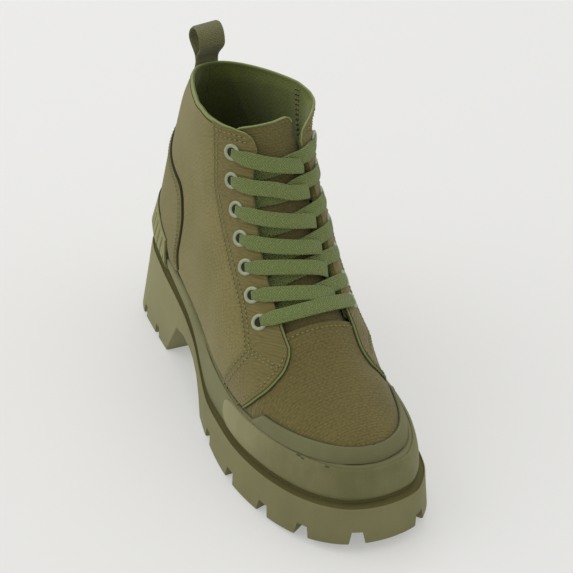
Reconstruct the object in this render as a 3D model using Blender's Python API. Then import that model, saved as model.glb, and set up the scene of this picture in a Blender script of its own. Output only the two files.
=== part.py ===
"""Platform combat boot, right foot, as an assembly of separate pieces.

Sizes are in millimetres and become metres when a mesh is made. s runs from the back of the heel to
the toe, z is the height above the floor, and x is negative on the outer (lateral) side of the foot.
In the scene the toe points to -Y and the sole stands on z = 0.
"""
import math
from collections import namedtuple

import bmesh
import bpy
import numpy as np

MM = 0.001
LATERAL, MEDIAL = -1, 1

# Driving sizes of the boot
SOLE_LENGTH = 285.0
WALL = 2.4              # canvas, interlining and lining together
FIT_GAP = 0.3           # running gap between pieces that touch
SEAT_GAP = 0.6          # gap between the midsole and the outsole under it
INSOLE_THICK = 4.0
INSOLE_GAP = 0.6        # to the wall round it
CAP_PROUD = 1.9
CAP_GAP = 0.5           # the cap's facets and the upper's differ, so it keeps a wider gap
EYELETS = 7

# Plan outline of the tread, from the back of the heel to the toe
Outline = namedtuple("Outline", "s lateral medial")
TREAD = [
    Outline(0, 0, 0),
    Outline(5, 23, 21),
    Outline(14, 33.5, 31.5),
    Outline(30, 40.5, 38.5),
    Outline(52, 42.8, 40.6),
    Outline(80, 44, 41),
    Outline(110, 44.4, 41),
    Outline(140, 47.6, 42.4),
    Outline(165, 52, 45),
    Outline(190, 54.4, 46.6),
    Outline(210, 54, 46.4),
    Outline(230, 50.5, 45),
    Outline(248, 45, 42),
    Outline(262, 38.3, 37.5),
    Outline(274, 28.5, 29.5),
    Outline(281, 18.5, 21),
    Outline(285, -1, 1),
]

# Heights along the sole: floor side, channel under the midsole, top of the midsole wall,
# and the inset of the midsole wall from the tread at its foot and at its top
Height = namedtuple("Height", "s ledge rim inset_low inset_top")
HEIGHTS = [
    Height(0, 48, 60, 5.6, 5.4),
    Height(50, 48, 59.5, 5.6, 5.2),
    Height(85, 46, 57.5, 5.0, 4.4),
    Height(112, 40.5, 52, 4.8, 4.4),
    Height(138, 32.2, 45.5, 5.2, 5.0),
    Height(160, 23, 42.8, 5.6, 6.6),
    Height(185, 21.8, 42.8, 6.0, 7.2),
    Height(210, 22, 44, 6.4, 8.0),
    Height(235, 23, 45.5, 6.8, 9.4),
    Height(260, 25, 46.5, 7.2, 11.0),
    Height(285, 27, 47, 7.4, 11.6),
]
WALL_FLARE = 2.6        # the outsole wall leans out towards the floor
EDGE_ROUND = 1.2        # rounding of the tread edge
MIDSOLE_FULL = 0.9      # the midsole's wall swells by this at half its height
HEEL_REACH = 40.0       # depth in from the tread within which the heel of the upper is looked for
CHANNEL_DROP = 2.0      # the channel behind the outsole wall is this deep
CHANNEL_CLEAR = 0.6     # its floor begins this far outside the midsole's foot

# Underside: heel breast, high arch, forefoot breast and toe spring
Arch = namedtuple("Arch", "s z")
ARCHES = [Arch(78, 0), Arch(97, 27.5), Arch(110, 30.5), Arch(122, 30), Arch(132, 27), Arch(140, 22),
          Arch(146, 12), Arch(150, 0)]
SPRING_S = 222.0
TOE_SPRING = 6.0

# Edge notches between the lugs: place on the outline, as s and side
Notch = namedtuple("Notch", "s side width")
NOTCHES = [
    Notch(3.0, LATERAL, 9.0), Notch(3.0, MEDIAL, 9.0),
    Notch(32.5, LATERAL, 8.5), Notch(32.5, MEDIAL, 8.5),
    Notch(56.5, LATERAL, 8.5), Notch(56.5, MEDIAL, 8.5),
    Notch(170.5, LATERAL, 11.0), Notch(163.0, MEDIAL, 11.0),
    Notch(206.5, LATERAL, 11.0), Notch(194.0, MEDIAL, 11.0),
    Notch(238.0, LATERAL, 10.5), Notch(226.0, MEDIAL, 10.5),
    Notch(263.5, LATERAL, 10.0), Notch(256.0, MEDIAL, 10.0),
    Notch(282.6, LATERAL, 10.0), Notch(279.6, MEDIAL, 10.0),
]
NOTCH_HIGH = 7.5
NOTCH_TAPER = 0.6       # width at the top over width at the floor
NOTCH_REACH = 15.0
NOTCH_PAST, NOTCH_UNDER = 6.0, 3.0      # the cutter stands out past the wall and the floor

# Sections of the last, fanned from the toe over the instep to the collar. Each runs from the ridge
# (vamp and shin line) to its foot: the feather line, or the back seam above the heel.
Section = namedtuple("Section", "ridge_s ridge_z foot_s foot_z lateral medial low_lat low_med widest "
                                "crown tuck fall")
SECTIONS = [
    Section(268.0, 49.5, 269.5, 35.5, 0, 0, 0, 0, 0.55, 2.3, 1.3, 2.0),
    Section(264.8, 52.8, 266.8, 35.2, 13.5, 12.8, 12.6, 12.0, 0.55, 2.3, 1.3, 2.0),
    Section(257.5, 56.5, 259.5, 34.6, 23.5, 21.5, 22.0, 20.2, 0.58, 2.3, 1.3, 2.0),
    Section(245.0, 61.0, 245.5, 33.2, 33.0, 27.6, 31.2, 26.2, 0.60, 2.2, 1.3, 2.0),
    Section(226.0, 69.0, 222.0, 31.5, 41.0, 32.4, 39.0, 31.0, 0.62, 2.1, 1.3, 2.0),
    Section(204.0, 81.5, 193.0, 30.6, 45.0, 36.6, 43.0, 34.2, 0.66, 2.0, 1.3, 2.0),
    Section(184.5, 96.0, 158.0, 35.0, 43.8, 37.4, 41.0, 33.0, 0.70, 2.0, 1.3, 2.0),
    Section(169.0, 112.0, 118.0, 45.0, 40.5, 36.4, 36.5, 31.5, 0.72, 2.3, 1.3, 2.0),
    Section(157.5, 128.0, 72.0, 51.0, 38.4, 36.4, 34.5, 32.0, 0.70, 2.6, 1.3, 2.0),
    Section(150.0, 140.0, 36.0, 52.2, 36.5, 35.2, 30.5, 29.5, 0.64, 2.7, 1.6, 2.1),
    Section(146.5, 146.5, 18.0, 52.4, 35.3, 34.4, 19.5, 19.0, 0.57, 2.8, 1.9, 2.3),
    Section(144.0, 151.5, 11.5, 52.5, 34.4, 33.6, 0, 0, 0.52, 2.8, 2.5, 2.8),
    Section(142.0, 156.0, 8.6, 60.0, 33.6, 33.0, 0, 0, 0.48, 2.9, 2.5, 2.8),
    Section(139.8, 160.5, 8.4, 79.0, 32.6, 32.2, 0, 0, 0.43, 2.9, 2.3, 2.3),
    Section(137.5, 165.5, 15.0, 106.0, 31.8, 31.6, 0, 0, 0.38, 2.9, 2.2, 2.1),
    Section(134.8, 171.5, 25.5, 138.0, 31.8, 31.6, 0, 0, 0.33, 2.9, 2.1, 1.8),
    Section(132.0, 179.0, 37.0, 168.0, 32.2, 32.0, 0, 0, 0.29, 2.9, 2.0, 1.5),
]
FOOT_ROWS = 12          # sections that end on the feather line
BACK_ROW = 12.0         # section whose foot is where the midsole ends at the back seam
TOP_ROW = 16.0

# Throat: half-width measured over the form from the ridge, and the eyestay's rounded top corner
THROAT_ROW = 5.3
THROAT_LOW, THROAT_TOP = 20.5, 13.5
CORNER_DROP_ROWS = 2.3
CORNER_WIDTH = 34.0

# Grid of the form: columns from ridge to throat edge, to the midsole rim, and down to the feather
COLS_THROAT, COLS_SIDE = 3, 11
SIDE_CROWDING = 1.4     # the side's columns crowd towards the throat, where the form bends most
HEEL_ROWS = (7.0, 10.0)     # sections between which they begin to crowd towards the back seam too
TUCK_IN = 2.0           # the feather edge lies this far in from the wall above it
THROAT_SHARE = 0.6      # most of the way to the rim that the throat's columns take
ROWS = [0, 0.5, 1, 1.5, 2, 2.5, 3, 3.5, 4, 4.5, 5, THROAT_ROW, 5.9, 6.45, 7, 7.5, 8, 8.5, 9, 9.5,
        10, 10.5, 11, 11.5, 11.8, 11.95, 12, 12.6, 13.2, 13.8, 14.4, 15, 15.5, 16]

# Toe cap: sections it covers and the height of its upper edge at its ends and at the toe
CAP_ROWS = (0, 0.35, 0.7, 1.05, 1.35, 1.6, 1.8, 2.0, 2.3, 2.7, 3.1, 3.5, 3.9, 4.2)
CAP_END_S, CAP_TOE_S = 222.0, 266.0
CAP_END_Z, CAP_TOE_Z = 52.0, 52.8

# Heel tab: a wedge flush with the outsole's edge at its foot and thin at its upper edge
TAB_END_S = 62.0
TAB_LOW_Z = 49.2
TAB_FACE_Z = 67.0       # below this its face is upright
TAB_FACE_INSET = 2.4
TAB_THIN = 1.8
TAB_GAP = 0.5           # to the midsole
TAB_UPPER_GAP = 0.9     # to the upper, whose facets differ from the tab's
TAB_STATIONS = 25
TabTop = namedtuple("TabTop", "s z")
TAB_TOPS = [TabTop(0, 82), TabTop(28, 80.5), TabTop(TAB_END_S, 71)]

TONGUE_CLEAR = 2.6      # room for the lace between eyestay and tongue
TONGUE_THICK = 2.4
TONGUE_TUCK_GAP = 0.6
TONGUE_UNDER = 17.0     # how far it reaches under each eyestay
TONGUE_LOW_ROW, TONGUE_TOP_ROW, TONGUE_TUCK_ROWS = 4.7, 15.2, 0.8
EYELET_OVER_LOW, EYELET_OVER_TOP = 31.8, 26.8   # over the form from the ridge
EYELET_LOW_ROW, EYELET_TOP_ROW = 5.86, 13.5
EYELET_FLANGE, EYELET_BARREL, EYELET_BORE = 4.7, 2.6, 2.0
HOLE_REACH = 6.0        # the hole's cutter stands out this far on both sides of the form
EYELET_LIFT = 0.75      # the flange's underside stands off the facets of the wall
EYELET_HIGH = 0.8
EYELET_ROUND = 0.9      # the flange's edge slopes over this width
LACE_WIDE, LACE_THICK = 8.0, 1.1
LACE_LIFT = 0.4         # the upper lace of a crossing rides this much higher
LACE_ENTRY = 0.035      # share of a crossing by which it is down before the eyestay's edge
LACE_STOP = 0.96        # share of a crossing at which the hidden end stops
LACE_CLEAR = 0.55       # between the lace and the flange under it
LACE_ON_TOP = EYELET_LIFT + EYELET_HIGH + LACE_CLEAR + 0.5 * LACE_THICK
LOOP_WIDE, LOOP_THICK = 16.5, 1.6
LOOP_HIGH, LOOP_BULGE, LOOP_TAIL = 27.0, 5.6, 20.0
LOOP_OFF_SEAM = 0.9     # gap between the tail and the back seam
LOOP_LEAN = 0.06        # forward lean of the loop above the collar
LOOP_BEND = 52.0        # twice the radius of the shaft's back under the tail
LOOP_FLAT = 16.0        # height above the collar at which the loop lies straight across
LOOP_SHIFT = -1.5       # it is sewn a little to the outer side of the seam
LOOP_EYE_LOW = 3.0      # the eye begins this far above the collar
LOOP_EYE_PAST = 4.0     # the eye's cutter stands out past the webbing's edges

Finish = namedtuple("Finish", "red green blue roughness metallic")
FINISHES = {
    "canvas": Finish(0.20, 0.18, 0.08, 0.9, 0.0),
    "lining": Finish(0.07, 0.09, 0.03, 0.9, 0.0),
    "rubber": Finish(0.19, 0.18, 0.10, 0.6, 0.0),
    "braid": Finish(0.18, 0.25, 0.09, 0.85, 0.0),
    "webbing": Finish(0.16, 0.16, 0.06, 0.9, 0.0),
    "eyelet_metal": Finish(0.42, 0.46, 0.32, 0.4, 0.6),
}


def smooth(xs, rows, odd=(), even=()):
    """Return a cubic curve through table rows, with the named columns mirrored at the first row."""
    xs = np.asarray(xs, float)
    rows = np.asarray(rows, float)
    slope = np.empty_like(rows)
    slope[1:-1] = (rows[2:] - rows[:-2]) / (xs[2:] - xs[:-2])[:, None]
    slope[0] = (rows[1] - rows[0]) / (xs[1] - xs[0])
    slope[-1] = (rows[-1] - rows[-2]) / (xs[-1] - xs[-2])
    for column in even:
        slope[0, column] = 0.0
    for column in odd:
        slope[0, column] = rows[1, column] / (xs[1] - xs[0])

    def at(x):
        x = np.clip(np.asarray(x, float), xs[0], xs[-1])
        i = np.clip(np.searchsorted(xs, x, side="right") - 1, 0, len(xs) - 2)
        step = (xs[i + 1] - xs[i])
        t = ((x - xs[i]) / step)[..., None]
        step = step[..., None]
        return ((1 + 2 * t) * (1 - t) ** 2 * rows[i] + t * (1 - t) ** 2 * step * slope[i]
                + t * t * (3 - 2 * t) * rows[i + 1] - t * t * (1 - t) * step * slope[i + 1])

    return at


def turn(s):
    """Angle that runs from 0 at the heel to pi at the toe and spreads the round ends."""
    return np.arccos(np.clip(1 - 2 * np.asarray(s, float) / SOLE_LENGTH, -1, 1))


TREAD_AT = smooth([turn(row.s) for row in TREAD], [[row.lateral, row.medial] for row in TREAD])
HEIGHT_AT = smooth([row.s for row in HEIGHTS], [list(row)[1:] for row in HEIGHTS])
LEDGE, RIM, INSET_LOW, INSET_TOP = range(4)
SECTION_AT = smooth(range(len(SECTIONS)), [list(row) for row in SECTIONS],
                    odd=(4, 5, 6, 7), even=(0, 1, 2, 3))


def height(column, s):
    """Height or inset of the sole at s."""
    return HEIGHT_AT(s)[..., column]


def underside(s):
    """Height of the sole's underside: heel, breast, arch, tread and toe spring."""
    s = np.asarray(s, float)
    arch = np.interp(s, [row.s for row in ARCHES], [row.z for row in ARCHES])
    spring = np.clip((s - SPRING_S) / (SOLE_LENGTH - SPRING_S), 0, 1)
    return arch + TOE_SPRING * spring ** 2


def outline_plan(angles, side):
    """Plan points (x, s) of the tread on one side and their outward normals."""
    def point(a):
        width = TREAD_AT(a)[..., 0 if side == LATERAL else 1]
        return np.stack([side * width, SOLE_LENGTH * (1 - np.cos(a)) / 2], -1)
    angles = np.asarray(angles, float)
    small = 1e-3
    along = point(np.minimum(angles + small, math.pi)) - point(np.maximum(angles - small, 0))
    along[angles <= small] = [side, 0]
    along[angles >= math.pi - small] = [-side, 0]
    along /= np.linalg.norm(along, axis=-1, keepdims=True)
    return point(angles), np.stack([side * along[..., 1], -side * along[..., 0]], -1)


SAMPLES = np.linspace(0, math.pi, 400)
X_MIDDLE = 0.5 * (outline_plan(SAMPLES, MEDIAL)[0][:, 0].max()
                  + outline_plan(SAMPLES, LATERAL)[0][:, 0].min())


def place(x, s, z):
    """Boot coordinates in millimetres to a scene point, still in millimetres."""
    return np.stack([x - X_MIDDLE, SOLE_LENGTH / 2 - s, z], -1)


def section(row, side):
    """Points down one side of a section and the distance over the form from the ridge."""
    (ridge_s, ridge_z, foot_s, foot_z, lateral, medial, low_lat, low_med,
     widest, crown, tuck, fall) = SECTION_AT(row)
    wide = max(lateral if side == LATERAL else medial, 0.0)
    low = max(low_lat if side == LATERAL else low_med, 0.0)
    swing = np.linspace(0, math.pi / 2, 60)
    above = widest * (1 - np.cos(swing))
    below = widest + (1 - widest) * np.sin(swing[1:])
    down = np.concatenate([above, below])
    rise = np.clip((widest - above) / widest, 0, 1)
    past = np.clip((below - widest) / (1 - widest), 0, 1)
    width = np.concatenate([wide * (1 - rise ** crown) ** (1 / crown),
                            low + (wide - low) * (1 - past ** fall) ** (1 / tuck)])
    points = np.stack([side * width, ridge_s + down * (foot_s - ridge_s),
                       ridge_z + down * (foot_z - ridge_z)], -1)
    arc = np.concatenate([[0], np.cumsum(np.linalg.norm(np.diff(points, axis=0), axis=1))])
    return points, arc


def throat_half(row):
    """Distance over the form from the ridge to the throat edge."""
    t = np.clip((row - THROAT_ROW) / (TOP_ROW - THROAT_ROW), 0, 1)
    return THROAT_LOW + (THROAT_TOP - THROAT_LOW) * t


def falls_below(points, arc, level):
    """Distance over the form at which a section goes below a height given along s."""
    depth = points[:, 2] - level(points[:, 1])
    under = np.nonzero(depth < 0)[0]
    if len(under) == 0:
        return arc[-1]
    if under[0] == 0:
        return 0.0
    i = under[0]
    part = depth[i - 1] / (depth[i - 1] - depth[i])
    return arc[i - 1] + part * (arc[i] - arc[i - 1])


def on_form(row, over, side):
    """Point of the form at a distance over it from the ridge, in boot coordinates."""
    points, arc = section(row, side)
    return np.array([np.interp(over, arc, points[:, k]) for k in range(3)])


def signed_form(row, over):
    """Scene point of the form, with the distance negative on the lateral side."""
    side = LATERAL if over < 0 else MEDIAL
    return place(*on_form(row, abs(over), side))


def form_normal(row, over):
    """Outward normal of the form there."""
    across = signed_form(row, over + 0.5) - signed_form(row, over - 0.5)
    along = signed_form(min(row + 0.05, TOP_ROW), over) - signed_form(row - 0.05, over)
    normal = np.cross(across, along)
    return normal / np.linalg.norm(normal)


RIM_COLUMN = COLS_THROAT + COLS_SIDE
COLUMNS = RIM_COLUMN + 1


def side_shares(row):
    """Spacing of the side's columns: close at the throat, and round the heel close at the seam too."""
    even = np.linspace(0, 1, COLS_SIDE + 1)
    heel = np.clip((row - HEEL_ROWS[0]) / (HEEL_ROWS[1] - HEEL_ROWS[0]), 0, 1)
    both_ends = 0.5 * even + 0.25 * (1 - np.cos(math.pi * even))
    return (1 - heel) * even ** SIDE_CROWDING + heel * both_ends


def column_arcs(row, side):
    """Distances over the form of the grid's columns down to the midsole's rim."""
    points, arc = section(row, side)
    rim = falls_below(points, arc, lambda s: height(RIM, s)) if row < BACK_ROW else arc[-1]
    edge = min(throat_half(row), THROAT_SHARE * rim)
    return np.concatenate([np.linspace(0, edge, COLS_THROAT + 1)[:-1],
                           edge + (rim - edge) * side_shares(row)])


def collar_row(column, side):
    """Section number at which the collar cuts a column: it drops round the eyestay's front corner."""
    arcs = column_arcs(TOP_ROW, side)
    past = np.clip((arcs[column] - arcs[COLS_THROAT]) / CORNER_WIDTH, 0, 1)
    corner = CORNER_DROP_ROWS * (1 - math.sqrt(1 - (1 - past) ** 2))
    return TOP_ROW - corner


def foot_stations(last):
    """Rows and sides once round the foot: lateral side from the heel to the toe, medial side back."""
    return [(i, LATERAL) for i in range(last, -1, -1)] + [(i, MEDIAL) for i in range(1, last)]


def form_grid():
    """Scene points of the whole form: rows from toe to collar, columns from lateral to medial.

    The outermost column is the feather edge, which lies under the midsole's rim and a little inside it.
    Also returned: the rows and columns of that edge and the outward direction at each of its points.
    """
    grid = np.empty((len(ROWS), 2 * COLUMNS + 1, 3))
    for side in (LATERAL, MEDIAL):
        tops = [collar_row(column, side) for column in range(RIM_COLUMN + 1)]
        for i, nominal in enumerate(ROWS):
            for column in range(RIM_COLUMN + 1):
                row = nominal
                if nominal > BACK_ROW:
                    row = BACK_ROW + (nominal - BACK_ROW) * (tops[column] - BACK_ROW) / (TOP_ROW - BACK_ROW)
                points, arc = section(row, side)
                over = column_arcs(row, side)[column]
                spot = [np.interp(over, arc, points[:, k]) for k in range(3)]
                grid[i, COLUMNS + side * column] = place(*spot)
            grid[i, COLUMNS + side * COLUMNS] = grid[i, COLUMNS + side * RIM_COLUMN]
    stations = foot_stations(ROWS.index(BACK_ROW))
    rim = np.array([grid[i, COLUMNS + side * RIM_COLUMN] for i, side in stations])
    along = np.roll(rim, -1, axis=0) - np.roll(rim, 1, axis=0)
    out = np.stack([along[:, 1], -along[:, 0], np.zeros(len(along))], -1)
    out /= np.linalg.norm(out, axis=1, keepdims=True)
    out *= np.sign(np.sum(out * (rim - rim.mean(axis=0)), axis=1).sum())
    edge = rim - TUCK_IN * out
    feet = np.array([(row.foot_s, row.foot_z) for row in SECTIONS[:FOOT_ROWS]])[::-1]
    edge[:, 2] = np.interp(SOLE_LENGTH / 2 - edge[:, 1], feet[:, 0], feet[:, 1])
    for (i, side), spot in zip(stations, edge):
        grid[i, COLUMNS + side * COLUMNS] = spot
    first = stations.index((0, LATERAL))
    grid[0, 2 * COLUMNS] = edge[first]
    grid[stations[0][0], 2 * COLUMNS] = edge[0]
    return grid, stations, out


def merged(points):
    """Number the points so that those in one place share a number."""
    flat = points.reshape(-1, 3)
    keys = {}
    numbers = np.empty(len(flat), int)
    kept = []
    for n, point in enumerate(flat):
        key = tuple(np.round(point, 3) + 0.0)
        if key not in keys:
            keys[key] = len(kept)
            kept.append(point)
        numbers[n] = keys[key]
    return np.array(kept), numbers.reshape(points.shape[:-1])


def cell_faces(ids, keep, points=None):
    """Triangles of the grid cells for which keep(row, column) holds.

    Cells at the edge of the grid are split the same way on both sides of the middle column. With points
    given, the others are split along their shorter diagonal.
    """
    faces = []
    middle = (ids.shape[1] - 1) / 2
    for i in range(ids.shape[0] - 1):
        for j in range(ids.shape[1] - 1):
            if not keep(i, j):
                continue
            a, b, c, d = ids[i, j], ids[i, j + 1], ids[i + 1, j + 1], ids[i + 1, j]
            from_b = j < middle
            if points is not None and i > 0 and 0 < j < ids.shape[1] - 2:
                from_b = np.linalg.norm(points[b] - points[d]) < np.linalg.norm(points[a] - points[c])
            halves = ((a, b, d), (b, c, d)) if from_b else ((a, b, c), (a, c, d))
            faces += [[int(v) for v in half] for half in halves if len(set(half)) == 3]
    return faces


def point_normals(points, faces):
    """Area-weighted normals of an open surface."""
    normals = np.zeros_like(points)
    for face in faces:
        corners = points[face]
        area = np.zeros(3)
        for k in range(1, len(face) - 1):
            area += np.cross(corners[k] - corners[0], corners[k + 1] - corners[0])
        normals[face] += area
    return normals / np.maximum(np.linalg.norm(normals, axis=1, keepdims=True), 1e-9)


def thicken(outer, inner, faces):
    """Close an open surface into a wall between two sets of points."""
    count = len(outer)
    solid = [list(face) for face in faces]
    solid += [[v + count for v in reversed(face)] for face in faces]
    edges = {(face[k], face[(k + 1) % len(face)]) for face in faces for k in range(len(face))}
    for a, b in sorted(edges):
        if (b, a) not in edges:
            solid.append([b, a, a + count, b + count])
    return np.concatenate([outer, inner]), solid


def material(finish):
    """Principled material of a finish, made once."""
    if finish in bpy.data.materials:
        return bpy.data.materials[finish]
    made = bpy.data.materials.new(finish)
    made.use_nodes = True
    shader = made.node_tree.nodes["Principled BSDF"]
    look = FINISHES[finish]
    shader.inputs["Base Color"].default_value = (look.red, look.green, look.blue, 1.0)
    shader.inputs["Roughness"].default_value = look.roughness
    shader.inputs["Metallic"].default_value = look.metallic
    return made


def add_object(name, points, faces, finish):
    """Make a named object from millimetre points and faces, with outward normals."""
    mesh = bpy.data.meshes.new(name)
    mesh.from_pydata([tuple(p) for p in np.asarray(points) * MM], [], [list(map(int, f)) for f in faces])
    work = bmesh.new()
    work.from_mesh(mesh)
    bmesh.ops.remove_doubles(work, verts=work.verts, dist=1e-6)
    loose = [v for v in work.verts if not v.link_faces]
    bmesh.ops.delete(work, geom=loose, context="VERTS")
    bmesh.ops.recalc_face_normals(work, faces=work.faces)
    if work.calc_volume(signed=True) < 0:
        bmesh.ops.reverse_faces(work, faces=work.faces)
    work.to_mesh(mesh)
    work.free()
    mesh.shade_smooth()
    mesh.set_sharp_from_angle(angle=math.radians(35))
    made = bpy.data.objects.new(name, mesh)
    made.data.materials.append(material(finish))
    bpy.context.collection.objects.link(made)
    return made


def add_cutter(name, points, faces):
    """Make a hidden solid that only shapes other pieces."""
    cutter = add_object(name, points, faces, "rubber")
    cutter.hide_render = True
    cutter.display_type = "WIRE"
    return cutter


def cut(target, cutter, operation):
    """Combine an object with a cutter."""
    boolean = target.modifiers.new(cutter.name, "BOOLEAN")
    boolean.operation = operation
    boolean.object = cutter
    boolean.solver = "EXACT"


def rings_solid(rings):
    """Solid from closed rings of equal length, with ladder caps across the first and last."""
    count = len(rings[0])
    half = count // 2
    points = np.concatenate(rings)
    faces = []
    for level in range(len(rings) - 1):
        base, over = level * count, (level + 1) * count
        for k in range(count):
            nxt = (k + 1) % count
            a, b, c, d = base + k, base + nxt, over + nxt, over + k
            faces += [[a, b, c], [a, c, d]] if k < half else [[a, b, d], [b, c, d]]
    for base in (0, (len(rings) - 1) * count):
        for k in range(half):
            left, right = k, (count - k) % count
            faces.append([base + left, base + left + 1, base + count - k - 1, base + right])
    points, numbers = merged(points)
    clean = []
    for face in faces:
        kept = list(dict.fromkeys(int(numbers[v]) for v in face))
        if len(kept) > 2:
            clean.append(kept)
    return points, clean


def sole_ring(angles, inset, z_of):
    """Closed ring round the sole: lateral side heel to toe, then medial side back."""
    ring = []
    for side, order in ((LATERAL, angles), (MEDIAL, angles[::-1][1:-1])):
        plan, normal = outline_plan(order, side)
        inset_here = inset(plan[:, 1]) if callable(inset) else inset
        plan = plan - normal * np.reshape(inset_here, (-1, 1))
        ring.append(place(plan[:, 0], plan[:, 1], z_of(np.clip(plan[:, 1], 0, SOLE_LENGTH))))
    return np.concatenate(ring)


def build_outsole():
    """Tread with heel block, arch, toe spring, channel and edge lugs."""
    stations = np.concatenate([SOLE_LENGTH * (1 - np.cos(np.linspace(0, math.pi, 33))) / 2,
                               [row.s for row in ARCHES]])
    angles = np.unique(np.round(turn(stations), 4))
    rings = [
        sole_ring(angles, EDGE_ROUND, underside),
        sole_ring(angles, 0.0, lambda s: underside(s) + EDGE_ROUND),
        sole_ring(angles, WALL_FLARE, lambda s: height(LEDGE, s)),
        sole_ring(angles, lambda s: height(INSET_LOW, s) - CHANNEL_CLEAR,
                  lambda s: height(LEDGE, s) - CHANNEL_DROP),
    ]
    outsole = add_object("outsole", *rings_solid(rings), "rubber")
    points, faces = [], []
    for notch in NOTCHES:
        plan, normal = (part[0] for part in outline_plan([turn(notch.s)], notch.side))
        along = np.array([-normal[1], normal[0]])
        floor = float(underside(notch.s))
        base = len(points)
        for reach in (NOTCH_PAST, -NOTCH_REACH):
            for wide, z in ((1.0, floor - NOTCH_UNDER), (NOTCH_TAPER, floor + NOTCH_HIGH)):
                for way in (-0.5, 0.5):
                    x, s = plan + normal * reach + along * way * wide * notch.width
                    points.append(place(x, s, z))
        faces += [[base + k for k in face] for face in
                  ((0, 1, 3, 2), (4, 6, 7, 5), (0, 4, 5, 1), (2, 3, 7, 6), (0, 2, 6, 4), (1, 5, 7, 3))]
    cut(outsole, add_cutter("lug_notches", points, faces), "DIFFERENCE")


class Form:
    """Shared grid of the last: points, normals and point numbers."""

    def __init__(self):
        grid, self.stations, self.flat = form_grid()
        self.points, self.ids = merged(grid)
        self.last = ROWS.index(BACK_ROW)
        self.normals = point_normals(self.points, cell_faces(self.ids, self.is_wall, self.points))
        self.feather = np.array([self.ids[i, COLUMNS + side * COLUMNS] for i, side in self.stations])

    def is_wall(self, i, j):
        """Whether a cell is part of the form: above the heel there is no feather edge."""
        return i < self.last or 0 < j < 2 * COLUMNS - 1

    def offset(self, distance):
        """Points moved out by a distance, with the feather edge moved only sideways."""
        moved = self.points + self.normals * distance
        moved[self.feather] = self.points[self.feather] + self.flat * distance
        return moved


def build_upper(form):
    """Canvas wall, open at collar, throat and underneath."""
    throat = ROWS.index(THROAT_ROW)

    def keep(i, j):
        in_throat = i >= throat and COLUMNS - COLS_THROAT <= j < COLUMNS + COLS_THROAT
        return form.is_wall(i, j) and not in_throat

    faces = cell_faces(form.ids, keep, form.points)
    solid = thicken(form.offset(0.0), form.offset(-WALL), faces)
    return add_object("upper", *solid, "canvas")


def nearest_plan(point, side):
    """Angle of the tread outline nearest to a plan point."""
    plan, _ = outline_plan(SAMPLES, side)
    return SAMPLES[np.argmin(np.linalg.norm(plan - point, axis=1))]


def midsole_bulge(s):
    """Inset from the tread of the fullest part of the midsole's wall."""
    return 0.5 * (height(INSET_TOP, s) + height(INSET_LOW, s)) - MIDSOLE_FULL


def build_midsole(form):
    """Rubber cup: floor, side wall and toe bumper, closed round the upper's lower edge."""
    clear = form.offset(FIT_GAP)
    inner_top, inner_low, outer_top, outer_low, outer_mid = [], [], [], [], []
    for i, side in form.stations:
        rim = clear[form.ids[i, COLUMNS + side * RIM_COLUMN]]
        low = clear[form.ids[i, COLUMNS + side * COLUMNS]] - [0, 0, FIT_GAP]
        if i in (0, form.last):
            angle = math.pi if i == 0 else 0.0
        else:
            angle = nearest_plan(np.array([rim[0] + X_MIDDLE, SOLE_LENGTH / 2 - rim[1]]), side)
        plan, normal = (part[0] for part in outline_plan([angle], side))
        s = plan[1]
        top = plan - normal * height(INSET_TOP, s)
        foot = plan - normal * height(INSET_LOW, s)
        middle = plan - normal * midsole_bulge(s)
        foot_z = height(LEDGE, np.clip(foot[1], 0, SOLE_LENGTH)) - CHANNEL_DROP + SEAT_GAP
        inner_top.append(rim)
        inner_low.append(low)
        outer_top.append(place(top[0], top[1], rim[2]))
        outer_mid.append(place(middle[0], middle[1], 0.5 * (rim[2] + foot_z)))
        outer_low.append(place(foot[0], foot[1], foot_z))
    rings = [np.array(ring) for ring in (inner_low, inner_top, outer_top, outer_mid, outer_low)]
    return add_object("midsole", *rings_solid(rings), "rubber")


def build_insole(form):
    """Footbed that lies on the midsole inside the upper."""
    edge = form.offset(-WALL - INSOLE_GAP)[form.feather]
    rings = [edge + [0, 0, FIT_GAP], edge + [0, 0, FIT_GAP + INSOLE_THICK]]
    return add_object("insole", *rings_solid(rings), "lining")


def cap_edge(s):
    """Height of the cap's upper edge."""
    return np.interp(s, (CAP_END_S, CAP_TOE_S), (CAP_END_Z, CAP_TOE_Z))


def build_toe_cap():
    """Rubber cap over the toe: the wall between two forms larger than the upper's own."""
    columns = 5
    grid = np.empty((len(CAP_ROWS), 2 * columns + 2, 3))
    for i, row in enumerate(CAP_ROWS):
        for side in (LATERAL, MEDIAL):
            points, arc = section(row, side)
            top = falls_below(points, arc, cap_edge)
            low = falls_below(points, arc, lambda s: height(RIM, s) + CAP_GAP)
            for k, over in enumerate(np.linspace(low, top, columns + 1)):
                spot = [np.interp(over, arc, points[:, n]) for n in range(3)]
                grid[i, k if side == LATERAL else 2 * columns + 1 - k] = place(*spot)
    points, ids = merged(grid)
    faces = cell_faces(ids, lambda i, j: j != columns)
    normals = point_normals(points, faces)
    solid = thicken(points + normals * (CAP_GAP + CAP_PROUD), points + normals * CAP_GAP, faces)
    return add_object("toe_cap", *solid, "rubber")


def heel_contour(z):
    """Plan points (x, s) of the upper round the heel at a height, the back seam's own point included."""
    rows = np.linspace(BACK_ROW, TOP_ROW, 200)
    seam = SECTION_AT(rows)
    contour = [(0.0, np.interp(z, seam[:, 3], seam[:, 2]))]
    for side in (LATERAL, MEDIAL):
        for row in np.linspace(7.5, 15.5, 70):
            points, _ = section(row, side)
            for i in np.nonzero((points[:-1, 2] >= z) & (points[1:, 2] < z))[0]:
                part = (points[i, 2] - z) / (points[i, 2] - points[i + 1, 2])
                contour.append((points[i] + part * (points[i + 1] - points[i]))[:2])
    return np.array(contour)


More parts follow.
